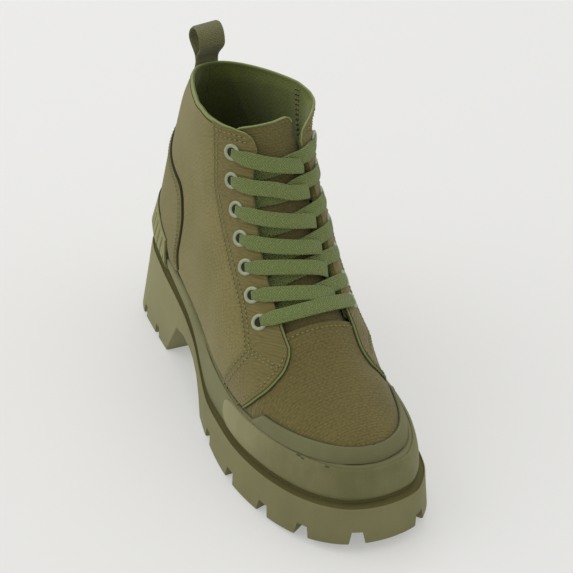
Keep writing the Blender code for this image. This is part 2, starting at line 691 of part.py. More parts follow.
def form_depth(plan, normal, z):
    """Distance inward from a point of the heel's tread outline to the upper at a height."""
    away = heel_contour(z) - plan
    run, depth = away @ [-normal[1], normal[0]], -(away @ normal)
    near = depth < HEEL_REACH
    order = np.argsort(run[near])
    return np.interp(0.0, run[near][order], depth[near][order])


def build_heel_tab():
    """Rubber wedge round the back of the heel, over the midsole's wall and the upper."""
    tops = smooth([row.s for row in TAB_TOPS], [[row.z] for row in TAB_TOPS])
    reach = turn(TAB_END_S)
    points, faces = [], []
    for k, swing in enumerate(np.linspace(-reach, reach, TAB_STATIONS)):
        side = LATERAL if swing < 0 else MEDIAL
        plan, normal = (part[0] for part in outline_plan([abs(swing)], side))
        s = plan[1]
        wall = midsole_bulge(s) - TAB_GAP
        step_z = float(height(RIM, s)) + TAB_GAP
        top_z = float(tops(s)[0])
        levels = (step_z, 0.5 * (step_z + top_z), top_z)
        lean = [form_depth(plan, normal, z) - TAB_UPPER_GAP for z in levels]
        profile = [(wall, TAB_LOW_Z), (wall, step_z), *zip(lean, levels), (lean[2] - TAB_THIN, top_z),
                   (TAB_FACE_INSET, TAB_FACE_Z), (TAB_FACE_INSET, TAB_LOW_Z)]
        count = len(profile)
        for inset, z in profile:
            x, along = plan - normal * inset
            points.append(place(x, along, z))
        if k:
            base = (k - 1) * count
            faces += [[base + m, base + (m + 1) % count, base + count + (m + 1) % count, base + count + m]
                      for m in range(count)]
    faces += [list(range(count)), list(range(len(points) - count, len(points)))]
    return add_object("heel_tab", points, faces, "rubber")


def build_tongue():
    """Tongue under the eyestays, tucked under the vamp at its foot and free at the top."""
    rows = np.concatenate([TONGUE_LOW_ROW + TONGUE_TUCK_ROWS * np.linspace(0, 1, 4)[:-1],
                           np.linspace(TONGUE_LOW_ROW + TONGUE_TUCK_ROWS, TONGUE_TOP_ROW, 14)])
    across = np.linspace(-1, 1, 11)
    outer, inner = np.empty((len(rows), len(across), 3)), np.empty((len(rows), len(across), 3))
    for i, row in enumerate(rows):
        free = np.clip((row - TONGUE_LOW_ROW) / TONGUE_TUCK_ROWS, 0, 1)
        sink = WALL + TONGUE_TUCK_GAP + free * (TONGUE_CLEAR - TONGUE_TUCK_GAP)
        for j, way in enumerate(across):
            over = way * (throat_half(row) + TONGUE_UNDER)
            spot, normal = signed_form(row, over), form_normal(row, over)
            outer[i, j] = spot - normal * sink
            inner[i, j] = spot - normal * (sink + TONGUE_THICK)
    ids = np.arange(len(rows) * len(across)).reshape(len(rows), len(across))
    faces = cell_faces(ids, lambda i, j: True)
    points = thicken(outer.reshape(-1, 3), inner.reshape(-1, 3), faces)
    return add_object("tongue", *points, "canvas")


def eyelet_spots():
    """Section numbers and distances from the ridge of the eyelets, top to bottom, evenly spaced."""
    rows = np.linspace(EYELET_TOP_ROW, EYELET_LOW_ROW, 200)
    over = np.linspace(EYELET_OVER_TOP, EYELET_OVER_LOW, 200)
    line = np.array([signed_form(r, -a) for r, a in zip(rows, over)])
    run = np.concatenate([[0], np.cumsum(np.linalg.norm(np.diff(line, axis=0), axis=1))])
    even = np.linspace(0, run[-1], EYELETS)
    return list(zip(np.interp(even, run, rows), np.interp(even, run, over)))


def frame_at(row, over):
    """Place and axes on the form: across, along and outward."""
    normal = form_normal(row, over)
    along = signed_form(row + 0.05, over) - signed_form(row - 0.05, over)
    along -= normal * np.dot(along, normal)
    along /= np.linalg.norm(along)
    return signed_form(row, over), np.cross(along, normal), along, normal


def turned_ring(profile, spot, segments=12):
    """Ring from a profile (radius, height) turned about the outward normal of the form."""
    centre, across, along, normal = frame_at(*spot)
    points, faces = [], []
    count = len(profile)
    for k in range(segments):
        angle = 2 * math.pi * k / segments
        out = across * math.cos(angle) + along * math.sin(angle)
        points += [centre + out * radius + normal * z for radius, z in profile]
        nxt = (k + 1) % segments
        for m in range(count):
            n = (m + 1) % count
            faces.append([k * count + m, k * count + n, nxt * count + n, nxt * count + m])
    return points, faces


def build_eyelets(upper, spots):
    """Metal rings with a barrel through the wall."""
    face = EYELET_LIFT + EYELET_HIGH
    rim = [(EYELET_BORE, face), (EYELET_FLANGE - EYELET_ROUND, face), (EYELET_FLANGE, EYELET_LIFT),
           (EYELET_BARREL, EYELET_LIFT), (EYELET_BARREL, -WALL), (EYELET_BORE, -WALL)]
    for number, (row, over) in enumerate(spots, 1):
        for tag, side in (("l", LATERAL), ("r", MEDIAL)):
            add_object(f"eyelet_{tag}{number}", *turned_ring(rim, (row, side * over)), "eyelet_metal")
            hole_radius = EYELET_BARREL + FIT_GAP
            disc = []
            for z in (-HOLE_REACH, HOLE_REACH):
                ring, _ = turned_ring([(hole_radius, z)], (row, side * over))
                disc += ring
            count = len(disc) // 2
            sides = [[k, (k + 1) % count, (k + 1) % count + count, k + count] for k in range(count)]
            sides += [list(range(count)), list(range(count, 2 * count))]
            cut(upper, add_cutter(f"hole_{tag}{number}", disc, sides), "DIFFERENCE")


def ribbon(route):
    """Flat lace along rows (section, distance over the form, height off it)."""
    centres = np.array([signed_form(r, over) + form_normal(r, over) * lift for r, over, lift in route])
    normals = np.array([form_normal(r, over) for r, over, _ in route])
    along = np.gradient(centres, axis=0)
    along /= np.linalg.norm(along, axis=1, keepdims=True)
    across = np.cross(along, normals)
    across /= np.linalg.norm(across, axis=1, keepdims=True)
    up = np.cross(across, along)
    points, faces = [], []
    for k, centre in enumerate(centres):
        for wide, thick in ((-0.5, -0.5), (0.5, -0.5), (0.5, 0.5), (-0.5, 0.5)):
            points.append(centre + across[k] * wide * LACE_WIDE + up[k] * thick * LACE_THICK)
        if k:
            base = 4 * (k - 1)
            faces += [[base + m, base + (m + 1) % 4, base + 4 + (m + 1) % 4, base + 4 + m]
                      for m in range(4)]
    end = 4 * (len(centres) - 1)
    faces += [[0, 1, 2, 3], [end, end + 1, end + 2, end + 3]]
    return points, faces


def lace_route(start, end, raised):
    """Route from on top of one eyelet to under the opposite eyestay."""
    (row_a, over_a), (row_b, over_b) = start, end
    beneath = -WALL - 0.5 * TONGUE_CLEAR
    leaves = 0.5 - 0.5 * throat_half(row_a) / abs(over_a)
    enters = 0.5 + 0.5 * throat_half(row_b) / abs(over_b) - LACE_ENTRY
    open_run = enters - leaves
    steps = ((0.0, LACE_ON_TOP), (0.5 * leaves, LACE_ON_TOP), (leaves, LACE_ON_TOP),
             (leaves + 0.25 * open_run, 0.9), (0.5, -0.7), (leaves + 0.75 * open_run, -2.3),
             (enters, beneath), (0.5 * (enters + LACE_STOP), beneath), (LACE_STOP, beneath))
    route = []
    for t, lift in steps:
        extra = raised * max(0.0, 1 - abs(t - 0.5) / 0.25)
        route.append((row_a + (row_b - row_a) * t, over_a + (over_b - over_a) * t, lift + extra))
    return route


def build_laces(spots):
    """Straight bar across the lowest eyelets and a joined crossing between each pair above it."""
    row, over = spots[-1]
    steps = (-1.0, -0.8, -0.6, -0.35, -0.12, 0.12, 0.35, 0.6, 0.8, 1.0)
    add_object("lace_bar", *ribbon([(row, over * t, LACE_ON_TOP) for t in steps]), "braid")
    for number in range(EYELETS - 1):
        (row_a, over_a), (row_b, over_b) = spots[number], spots[number + 1]
        left = lace_route((row_a, -over_a), (row_b, over_b), LACE_LIFT)
        right = lace_route((row_a, over_a), (row_b, -over_b), 0.0)
        crossing = add_object(f"lace_cross_{number + 1}", *ribbon(left), "braid")
        cut(crossing, add_cutter(f"lace_under_{number + 1}", *ribbon(right)), "UNION")


def loop_profiles():
    """Side profiles (s, z) of the folded webbing and of the eye in it, and the collar's height."""
    seam = np.array([on_form(row, 1e9, MEDIAL) for row in np.linspace(14.5, TOP_ROW, 12)])
    collar_z = seam[-1, 2]
    tail_z = np.linspace(collar_z - LOOP_TAIL, collar_z, 6)
    leg = [(s - LOOP_OFF_SEAM, z) for s, z in zip(np.interp(tail_z, seam[:, 2], seam[:, 1]), tail_z)]
    waist_s = leg[-1][0] - LOOP_THICK
    crown_z = collar_z + LOOP_HIGH - LOOP_BULGE - LOOP_THICK
    shoulder_z = crown_z - LOOP_BULGE

    def ring(radius):
        shoulder = 0.7 * radius
        swing = np.linspace(0, math.pi, 9)
        line = [(shoulder, shoulder_z)]
        line += [(radius * math.cos(a), crown_z + radius * math.sin(a)) for a in swing]
        line += [(-shoulder, shoulder_z)]
        return [(waist_s + LOOP_LEAN * (z - collar_z) + off, z) for off, z in line]

    eye = [(waist_s, collar_z + LOOP_EYE_LOW)] + ring(LOOP_BULGE)
    outer = leg + ring(LOOP_BULGE + LOOP_THICK) + [(s - 2 * LOOP_THICK, z) for s, z in reversed(leg)]
    return outer, eye, collar_z


def build_pull_loop():
    """Folded webbing: a tail sewn outside the back seam and an open loop above the collar."""
    outer, eye, collar_z = loop_profiles()
    loop = add_object("pull_loop", *bent_strip(outer, LOOP_WIDE / 2, collar_z), "webbing")
    cut(loop, add_cutter("loop_eye", *bent_strip(eye, LOOP_WIDE / 2 + LOOP_EYE_PAST, collar_z)), "DIFFERENCE")


def bent_strip(profile, half_width, collar_z):
    """Points and faces of a side profile run across and bent round the back of the shaft."""
    slices = np.linspace(-half_width, half_width, 7)
    count = len(profile)
    points = []
    for x in slices:
        for s, z in profile:
            bend = np.clip(1 - (z - collar_z) / LOOP_FLAT, 0, 1)
            points.append(place(x + LOOP_SHIFT, s + bend * x * x / LOOP_BEND, z))
    faces = []
    for k in range(len(slices) - 1):
        for m in range(count):
            n = (m + 1) % count
            faces.append([k * count + m, k * count + n, (k + 1) * count + n, (k + 1) * count + m])
    faces += [list(range(count)), list(range(len(points) - count, len(points)))]
    return points, faces


def main():
    """Clear the scene and build every piece."""
    for old in list(bpy.data.objects):
        bpy.data.objects.remove(old, do_unlink=True)
    form = Form()
    build_outsole()
    build_midsole(form)
    upper = build_upper(form)
    build_insole(form)
    build_tongue()
    build_toe_cap()
    build_heel_tab()
    spots = eyelet_spots()
    build_eyelets(upper, spots)
    build_laces(spots)
    build_pull_loop()


main()
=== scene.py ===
"""Platform combat boot, right foot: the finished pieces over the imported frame.

Sizes are in millimetres and become metres when a mesh is made. s runs from the back of the heel to
the toe, z is the height above the floor, and x is negative on the outer (lateral) side. A place on
the last is given as a section number (row) and the distance over the form from the ridge (over),
negative on the lateral side.
"""
import logging
import math
from dataclasses import dataclass, field
from enum import Enum
from typing import Callable, Optional, Sequence

import bmesh
import bpy
import numpy as np
from mathutils import Matrix


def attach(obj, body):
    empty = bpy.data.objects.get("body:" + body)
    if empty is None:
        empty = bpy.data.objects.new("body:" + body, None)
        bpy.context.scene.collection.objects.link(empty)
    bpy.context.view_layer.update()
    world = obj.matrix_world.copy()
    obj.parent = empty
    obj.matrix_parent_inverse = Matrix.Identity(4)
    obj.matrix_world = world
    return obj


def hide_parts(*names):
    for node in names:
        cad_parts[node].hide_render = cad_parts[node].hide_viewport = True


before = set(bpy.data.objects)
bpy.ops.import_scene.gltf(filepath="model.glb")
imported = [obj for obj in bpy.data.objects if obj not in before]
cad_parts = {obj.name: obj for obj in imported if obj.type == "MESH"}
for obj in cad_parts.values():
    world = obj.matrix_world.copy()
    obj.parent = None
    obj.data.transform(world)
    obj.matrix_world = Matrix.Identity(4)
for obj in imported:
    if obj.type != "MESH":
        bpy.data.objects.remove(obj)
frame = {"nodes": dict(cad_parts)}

Array = np.ndarray
Tree, Socket, Made = bpy.types.NodeTree, bpy.types.NodeSocket, bpy.types.Object
MM = 0.001
MERGE_DIST = 2e-6           # metres: points nearer than this become one
FLAT_DIST = 1e-7
LOG = logging.getLogger("boot")


class Side(Enum):
    """Outer and inner side of the foot."""

    LATERAL = -1
    MEDIAL = 1


SIDES = (Side.LATERAL, Side.MEDIAL)


class Ends(Enum):
    """How a stack of rings ends."""

    FLAT = "one flat face on each end"
    ACROSS = "faces straight across each end"
    JOINED = "the last ring joins the first"


def smooth_table(xs: Sequence[float], rows: Sequence[Sequence[float]], odd: Sequence[int] = (),
                 even: Sequence[int] = ()) -> Callable[[Array], Array]:
    """Make a cubic curve through table rows.

    Args:
        xs: place of each row.
        rows: values of each row.
        odd: columns that are mirrored with a change of sign at the first row.
        even: columns that are mirrored at the first row.

    Returns:
        A function of the place that gives the values there.
    """
    places, values = np.asarray(xs, float), np.asarray(rows, float)
    slope = np.empty_like(values)
    slope[1:-1] = (values[2:] - values[:-2]) / (places[2:] - places[:-2])[:, None]
    slope[0] = (values[1] - values[0]) / (places[1] - places[0])
    slope[-1] = (values[-1] - values[-2]) / (places[-1] - places[-2])
    slope[0, list(even)] = 0.0
    slope[0, list(odd)] = values[1, list(odd)] / (places[1] - places[0])

    def at(x: Array) -> Array:
        """Give the table's values at x.

        Args:
            x: places.

        Returns:
            One row of values for each place.
        """
        x = np.clip(np.asarray(x, float), places[0], places[-1])
        i = np.clip(np.searchsorted(places, x, side="right") - 1, 0, len(places) - 2)
        step = (places[i + 1] - places[i])[..., None]
        t = (x - places[i])[..., None] / step
        return ((1 + 2 * t) * (1 - t) ** 2 * values[i] + t * (1 - t) ** 2 * step * slope[i]
                + t * t * (3 - 2 * t) * values[i + 1] - t * t * (1 - t) * step * slope[i + 1])

    return at


def on_lines(pairs: Sequence[Sequence[float]], x: Array) -> Array:
    """Give the value at x on straight lines through pairs of place and value."""
    return np.interp(x, *zip(*pairs))


def on_curve(pairs: Sequence[Sequence[float]], x: Array) -> Array:
    """Give the value at x on a cubic curve through pairs of place and value."""
    places, values = zip(*pairs)
    return smooth_table(places, [[v] for v in values])(x)[..., 0]


def edged(first: Sequence[float], span: tuple[float, float], count: int,
          last: Sequence[float] = ()) -> Array:
    """Give even steps over a span, with closer ones before and after it for rounded edges."""
    return np.concatenate([first, np.linspace(*span, count), last])


def ease(x: Array) -> Array:
    """Rise smoothly from 0 at x = 0 to 1 at x = 1."""
    t = np.clip(x, 0, 1)
    return t * t * (3 - 2 * t)


def unit(v: Array) -> Array:
    """Scale vectors to length 1."""
    return v / np.maximum(np.linalg.norm(v, axis=-1, keepdims=True), 1e-12)


def run_length(points: Array) -> Array:
    """Give the distance along a line of points."""
    return np.concatenate([[0.0], np.cumsum(np.linalg.norm(np.diff(points, axis=0), axis=1))])


def resample(points: Array, count: int) -> Array:
    """Spread a number of points evenly along a line of points.

    Args:
        points: the line.
        count: how many.

    Returns:
        The new points.
    """
    run = run_length(points)
    even = np.linspace(0, run[-1], count)
    return np.stack([np.interp(even, run, points[:, k]) for k in range(points.shape[1])], -1)


@dataclass
class SoleForm:
    """Plan outline and heights of the sole."""

    length: float = 285.0
    # s, lateral and medial half-width of the tread
    tread: tuple = ((0, 0, 0), (5, 24.5, 22.5), (14, 35.3, 33.3), (30, 42, 40), (52, 43.6, 41.4),
                    (80, 44, 41), (110, 44.4, 41), (140, 47.4, 42.4), (165, 51.8, 45), (190, 54.4, 46.6),
                    (210, 54, 46.4), (230, 50.5, 45), (248, 45, 42), (262, 38.3, 37.5),
                    (274, 28.5, 29.5), (281, 18.5, 21), (285, -1, 1))
    # s, top of the outsole wall, top of the midsole wall, inset of that wall at its foot and top, and
    # inset of the outsole wall's top
    heights: tuple = ((0, 47.6, 60, 7.0, 5.4, 4.2), (12, 47.6, 60, 9.8, 7.6, 6.2),
                      (28, 47.8, 59.8, 11.0, 8.8, 6.6), (50, 47.6, 59.4, 9.0, 7.0, 4.8),
                      (70, 47, 58.6, 6.6, 5.4, 3.0),
                      (85, 46, 57.5, 5.2, 4.4, 2.2), (112, 40.8, 52, 3.6, 4.4, 1.4),
                      (130, 36, 47.4, 2.5, 4.8, 0.9), (142, 27.5, 44.8, 2.4, 5.3, 0.8),
                      (152, 22, 43.4, 3.0, 6.1, 0.9), (165, 20.6, 42.7, 4.3, 6.75, 1.3),
                      (185, 21.4, 42.8, 5.8, 7.2, 2.2), (210, 22, 44, 6.5, 8.0, 2.6),
                      (235, 23, 45.5, 7.0, 9.4, 2.6), (260, 25, 46.5, 7.4, 11.0, 2.6),
                      (285, 27, 47, 7.6, 11.6, 2.6))
    # s and z of the underside from the heel's breast through the high arch to the forefoot
    arch: tuple = ((78, 0), (97, 28), (110, 30.5), (122, 30.2), (131, 28.2), (139, 22.5), (145, 12), (149, 0))
    spring_s: float = 222.0     # the toe springs up from here
    spring_high: float = 6.0

    def __post_init__(self) -> None:
        """Make the curves through the tables and find the middle of the tread's width."""
        self.width_at = smooth_table([float(self.turn(row[0])) for row in self.tread],
                                     [row[1:] for row in self.tread])
        self.height_at = smooth_table([row[0] for row in self.heights],
                                      [row[1:] for row in self.heights])
        self.angles = np.linspace(0, math.pi, 2000)
        self.plans = {side: self.outline(self.angles, side)[0] for side in SIDES}
        self.x_middle = 0.5 * (self.plans[Side.MEDIAL][:, 0].max() + self.plans[Side.LATERAL][:, 0].min())

    def turn(self, s: Array) -> Array:
        """Give the angle that runs from 0 at the heel to pi at the toe."""
        return np.arccos(np.clip(1 - 2 * np.asarray(s, float) / self.length, -1, 1))

    def ledge(self, s: Array) -> Array:
        """Give the height of the outsole wall's top."""
        return self.height_at(s)[..., 0]

    def rim(self, s: Array) -> Array:
        """Give the height of the midsole wall's top."""
        return self.height_at(s)[..., 1]

    def inset_low(self, s: Array) -> Array:
        """Give the inset of the midsole wall's foot from the tread."""
        return self.height_at(s)[..., 2]

    def inset_top(self, s: Array) -> Array:
        """Give the inset of the midsole wall's top from the tread."""
        return self.height_at(s)[..., 3]

    def flare(self, s: Array) -> Array:
        """Give the inset of the outsole wall's top from the tread."""
        return self.height_at(s)[..., 4]

    def underside(self, s: Array) -> Array:
        """Give the height of the underside: heel, breast, arch, tread and toe spring."""
        spring = np.clip((np.asarray(s, float) - self.spring_s) / (self.length - self.spring_s), 0, 1)
        return on_lines(self.arch, s) + self.spring_high * spring ** 2

    def outline(self, angles: Array, side: Side) -> tuple[Array, Array]:
        """Give plan points (x, s) of the tread on one side and their outward normals.

        Args:
            angles: outline angles from 0 at the heel to pi at the toe.
            side: side of the foot.

        Returns:
            Plan points and normals.
        """
        def point(a: Array) -> Array:
            """Give the plan point at an angle."""
            width = self.width_at(a)[..., 0 if side is Side.LATERAL else 1]
            return np.stack([side.value * width, self.length * (1 - np.cos(a)) / 2], -1)

        angles = np.asarray(angles, float)
        small = 1e-3
        along = point(np.minimum(angles + small, math.pi)) - point(np.maximum(angles - small, 0))
        along[angles <= small] = [side.value, 0]
        along[angles >= math.pi - small] = [-side.value, 0]
        along = unit(along)
        return point(angles), side.value * np.stack([along[..., 1], -along[..., 0]], -1)

    def nearest(self, plan: Array, side: Side) -> Array:
        """Give the outline angle nearest to each plan point."""
        away = np.linalg.norm(self.plans[side][None, :, :] - plan[:, None, :], axis=2)
        return self.angles[np.argmin(away, axis=1)]

    def place(self, x: Array, s: Array, z: Array) -> Array:
        """Turn boot coordinates into a scene point, still in millimetres."""
        return np.stack(np.broadcast_arrays(x - self.x_middle, self.length / 2 - s, z), -1)

    def ring(self, angles: Array, inset: object, height: Callable[[Array], Array]) -> Array:
        """Give a closed ring round the sole: lateral side heel to toe, then medial side back.

        Args:
            angles: outline angles from 0 to pi.
            inset: distance in from the tread, or a function of s that gives it.
            height: function of s.

        Returns:
            The ring's points.
        """
        ring = []
        for side, order in ((Side.LATERAL, angles), (Side.MEDIAL, angles[::-1][1:-1])):
            plan, normal = self.outline(order, side)
            depth = inset(plan[:, 1]) if callable(inset) else inset
            plan = plan - normal * np.reshape(depth, (-1, 1))
            ring.append(self.place(plan[:, 0], plan[:, 1], height(np.clip(plan[:, 1], 0, self.length))))
        return np.concatenate(ring)


@dataclass(frozen=True)
class Crease:
    """Soft trough (or ridge, with a negative depth) between two places on the last."""

    start: tuple[float, float]
    end: tuple[float, float]
    width: float
    depth: float


@dataclass
class LastForm:
    """Shape of the last as sections fanned from the toe over the instep to the collar."""

    sole: SoleForm
    # ridge s and z, foot s and z, half-widths and low half-widths (lateral, medial), place of the
    # greatest width, and the three exponents of the section
    sections: tuple = (
        (268, 49.5, 269.5, 35.5, 0, 0, 0, 0, .55, 2.3, 1.3, 2),
        (264.8, 52.8, 266.8, 35.2, 13.5, 12.8, 12.6, 12, .55, 2.3, 1.3, 2),
        (257.5, 56.5, 259.5, 34.6, 23.5, 21.5, 22, 20.2, .58, 2.3, 1.3, 2),
        (245, 61, 245.5, 33.2, 33, 27.6, 31.2, 26.2, .60, 2.2, 1.3, 2),
        (226, 69, 222, 31.5, 41, 32.4, 39, 31, .62, 2.1, 1.3, 2),
        (204, 81.5, 193, 30.6, 45, 36.6, 43, 34.2, .66, 2, 1.3, 2),
        (184.5, 96, 158, 35, 43.8, 37.4, 41, 33, .70, 2, 1.3, 2),
        (169, 112, 118, 45, 40.5, 36.4, 36.5, 31.5, .72, 2.3, 1.3, 2),
        (157.5, 128, 72, 51, 38.4, 36.4, 34.5, 32, .70, 2.6, 1.3, 2),
        (150, 140, 36, 52.2, 36.5, 35.2, 30.5, 29.5, .64, 2.7, 1.6, 2.1),
        (146.5, 146.5, 18, 52.4, 35.3, 34.4, 19.5, 19, .57, 2.8, 1.9, 2.3),
        (144, 151.5, 11.5, 52.5, 34.4, 33.6, 0, 0, .52, 2.8, 2.5, 2.8),
        (142, 156, 8.6, 60, 33.6, 33, 0, 0, .48, 2.9, 2.5, 2.8),
        (139.8, 160.5, 8.4, 79, 32.6, 32.2, 0, 0, .43, 2.9, 2.3, 2.3),
        (137.5, 165.5, 15, 106, 31.8, 31.6, 0, 0, .38, 2.9, 2.2, 2.1),
        (134.8, 171.5, 25.5, 138, 31.8, 31.6, 0, 0, .33, 2.9, 2.1, 1.8),
        (132, 179, 37, 168, 32.2, 32, 0, 0, .29, 2.9, 2, 1.5),
    )
    back_row: float = 12.0
    heel_row: float = 10.0      # from here to the back the sections fan out widely
    top_row: float = 16.0
    throat_row: float = 5.3
    under_rim: float = 3.0      # panels end this far under the rubber rim
    # section number and half-width of the throat
    throat: tuple = ((5.3, 20.5), (7, 20.2), (8.4, 19.2), (10.75, 16.6), (12.25, 14.4), (13.2, 13.3),
                     (16, 12.9))
    # over and row of the collar round the eyestay's rounded top corner
    collar: tuple = ((13.2, 13.4), (13.6, 13.95), (14.6, 14.35), (17, 14.75), (23, 15.15), (34, 15.58),
                     (46, 15.88), (60, 16.0))
    creases: tuple = (
        Crease((9.6, -62), (8.4, -88), 9.0, 1.1),
        Crease((11.4, -56), (12.6, -80), 10.0, 0.9),
        Crease((7.3, -56), (6.6, -80), 8.0, 0.8),
        Crease((4.25, -34), (4.15, 8), 6.0, 0.6),
        Crease((4.6, 10), (4.2, 30), 6.0, 0.7),
        Crease((9.6, 62), (8.4, 88), 9.0, 1.0),
        Crease((11.4, 56), (12.6, 80), 10.0, 0.9),
        Crease((16.0, -52), (16.0, -124), 9.0, 2.4),
        Crease((13.0, 30), (15.8, 44), 17.0, 3.2),
        Crease((3.9, 36), (5.4, 36), 17.0, 2.8),
    )
    crease_ends: tuple = (0.06, 0.94)   # shares of a crease's length where it fades no further
    row_step: float = 0.05
    samples: int = 161
    probe_over: float = 0.6     # steps over the form and in section numbers that give its normal
    probe_row: float = 0.06
    seam_near: float = 0.4      # so near to the back seam the normal points straight back

    def __post_init__(self) -> None:
        """Sample every section evenly over its length on both sides."""
        self.section_at = smooth_table(range(len(self.sections)), self.sections,
                                       odd=(4, 5, 6, 7), even=(0, 1, 2, 3))
        self.rows = np.arange(0, self.top_row + 1e-6, self.row_step)
        self.table: dict[int, Array] = {}
        self.totals: dict[int, Array] = {}
        self.rims: dict[int, Array] = {}
        for side in SIDES:
            lines, totals, rims = [], [], []
            for row in self.rows:
                line, run = self.section(row, side)
                even = np.linspace(0, run[-1], self.samples)
                lines.append(np.stack([np.interp(even, run, line[:, k]) for k in range(3)], -1))
                totals.append(run[-1])
                below = np.nonzero(line[:, 2] < self.sole.rim(line[:, 1]))[0]
                at_rim = row < self.back_row and len(below) > 0
                rims.append(run[below[0]] if at_rim else run[-1])
            self.table[side.value] = np.array(lines)
            self.totals[side.value] = np.array(totals)
            self.rims[side.value] = np.array(rims)
        self.lines = [(self.track(c), c) for c in self.creases]

    def section(self, row: float, side: Side) -> tuple[Array, Array]:
        """Give points (x, s, z) down one side of a section and the distance from the ridge.

        Args:
            row: section number.
            side: side of the foot.

        Returns:
            Points and distances.
        """
        (ridge_s, ridge_z, foot_s, foot_z, lateral, medial, low_lat, low_med,
         widest, crown, tuck, fall) = self.section_at(row)
        wide = max(lateral if side is Side.LATERAL else medial, 0.0)
        low = max(low_lat if side is Side.LATERAL else low_med, 0.0)
        swing = np.linspace(0, math.pi / 2, 120)
        above = widest * (1 - np.cos(swing))
        below = widest + (1 - widest) * np.sin(swing[1:])
        down = np.concatenate([above, below])
        rise = np.clip((widest - above) / widest, 0, 1)
        past = np.clip((below - widest) / (1 - widest), 0, 1)
        width = np.concatenate([wide * (1 - rise ** crown) ** (1 / crown),
                                low + (wide - low) * (1 - past ** fall) ** (1 / tuck)])
        line = np.stack([side.value * width, ridge_s + down * (foot_s - ridge_s),
                         ridge_z + down * (foot_z - ridge_z)], -1)
        return line, run_length(line)

    def total(self, row: Array, side: Side) -> Array:
        """Give the full length of a section's side."""
        return np.interp(row, self.rows, self.totals[side.value])

    def rim_over(self, row: Array, side: Side) -> Array:
        """Give the distance over the form to the rubber rim."""
        return np.interp(row, self.rows, self.rims[side.value])

    def rim_line(self, side: Side, counts: tuple[int, int]) -> Array:
        """Give scene points of the rubber rim from the back seam to the toe.

        Args:
            side: side of the foot.
            counts: numbers of sections taken round the heel and before it.

        Returns:
            The line's points on the form without its creases.
        """
        rows = np.concatenate([np.linspace(self.back_row, self.heel_row, counts[0]),
                               np.linspace(self.heel_row, 0, counts[1])[1:]])
        return self.bare(rows, side.value * self.rim_over(rows, side))

    def foot(self, row: Array, side: Side) -> Array:
        """Give the distance at which a panel ends: a little under the rubber rim, or at the back seam."""
        return np.minimum(self.rim_over(row, side) + self.under_rim, self.total(row, side))

    def throat_half(self, row: Array) -> Array:
        """Give the distance from the ridge to the throat's edge."""
        return on_lines(self.throat, row)

    def collar_row(self, over: Array) -> Array:
        """Give the section number of the collar's edge at a distance over the form."""
        return on_lines(self.collar, np.abs(over))

    def bare(self, row: Array, over: Array) -> Array:
        """Give scene points of the form without its creases.

        Args:
            row: section numbers.
            over: distances over the form.

        Returns:
            Points in millimetres.
        """
        row, over = np.broadcast_arrays(np.clip(row, 0, self.top_row), np.asarray(over, float))
        level = row / self.row_step
        i = np.clip(level.astype(int), 0, len(self.rows) - 2)
        part = (level - i)[..., None]
        found = np.zeros(row.shape + (3,))
        for side in SIDES:
            mine = (over < 0) if side is Side.LATERAL else (over >= 0)
            sums = 0.0
            for k, weight in ((i, 1 - part), (i + 1, part)):
                share = np.clip(np.abs(over) / self.totals[side.value][k], 0, 1) * (self.samples - 1)
                j = np.clip(share.astype(int), 0, self.samples - 2)
                between = (share - j)[..., None]
                lines = self.table[side.value]
                sums = sums + weight * (lines[k, j] * (1 - between) + lines[k, j + 1] * between)
            found = np.where(mine[..., None], sums, found)
        return self.sole.place(found[..., 0], found[..., 1], found[..., 2])

    def normal(self, row: Array, over: Array) -> Array:
        """Give outward normals of the form.

        Args:
            row: section numbers.
            over: distances over the form.

        Returns:
            Vectors of length 1.
        """
        step = self.probe_over
        across = self.bare(row, over + step) - self.bare(row, over - step)
        along = self.bare(row + self.probe_row, over) - self.bare(row - self.probe_row, over)
        normal = np.cross(across, along)
        seam = np.zeros(np.broadcast(row, over).shape, bool)
        for side in SIDES:
            near = side.value * over > self.total(row, side) - self.seam_near
            seam |= near & (row >= self.back_row)
        normal[..., 0] = np.where(seam, 0.0, normal[..., 0])
        return unit(normal)

    def track(self, crease: Crease) -> Array:
        """Give the line of a crease over the form.

        Args:
            crease: the crease.

        Returns:
            Scene points.
        """
        t = np.linspace(0, 1, 24)
        (row_a, over_a), (row_b, over_b) = crease.start, crease.end
        return self.bare(row_a + (row_b - row_a) * t, over_a + (over_b - over_a) * t)

    def sink(self, points: Array) -> Array:
        """Give how far the creases sink the form at scene points.

        Args:
            points: points in millimetres.

        Returns:
            Depths in millimetres.
        """
        depth = np.zeros(points.shape[:-1])
        for line, crease in self.lines:
            away = np.linalg.norm(points[..., None, :] - line, axis=-1)
            nearest = np.argmin(away, axis=-1)
            ends = np.sin(math.pi * np.clip(nearest / (len(line) - 1), *self.crease_ends))
            depth += crease.depth * ends * np.exp(-(away.min(axis=-1) / crease.width) ** 2)
        return depth

    def lifted(self, row: Array, over: Array, lift: Array) -> Array:
        """Give points a distance off the creased form.

        Args:
            row: section numbers.
            over: distances over the form.
            lift: distances off the form.

        Returns:
            Scene points.
        """
        row, over = np.asarray(row, float), np.asarray(over, float)
        points = self.bare(row, over)
        off = np.asarray(lift, float) - self.sink(points)
        return points + self.normal(row, over) * off[..., None]


def srgb(code: str) -> tuple[float, float, float, float]:
    """Turn an sRGB hex colour into linear values.

    Args:
        code: colour as #rrggbb.

    Returns:
        Red, green, blue and alpha.
    """
    parts = [int(code[k:k + 2], 16) / 255 for k in (1, 3, 5)]
    linear = [c / 12.92 if c <= 0.04045 else ((c + 0.055) / 1.055) ** 2.4 for c in parts]
    return (*linear, 1.0)


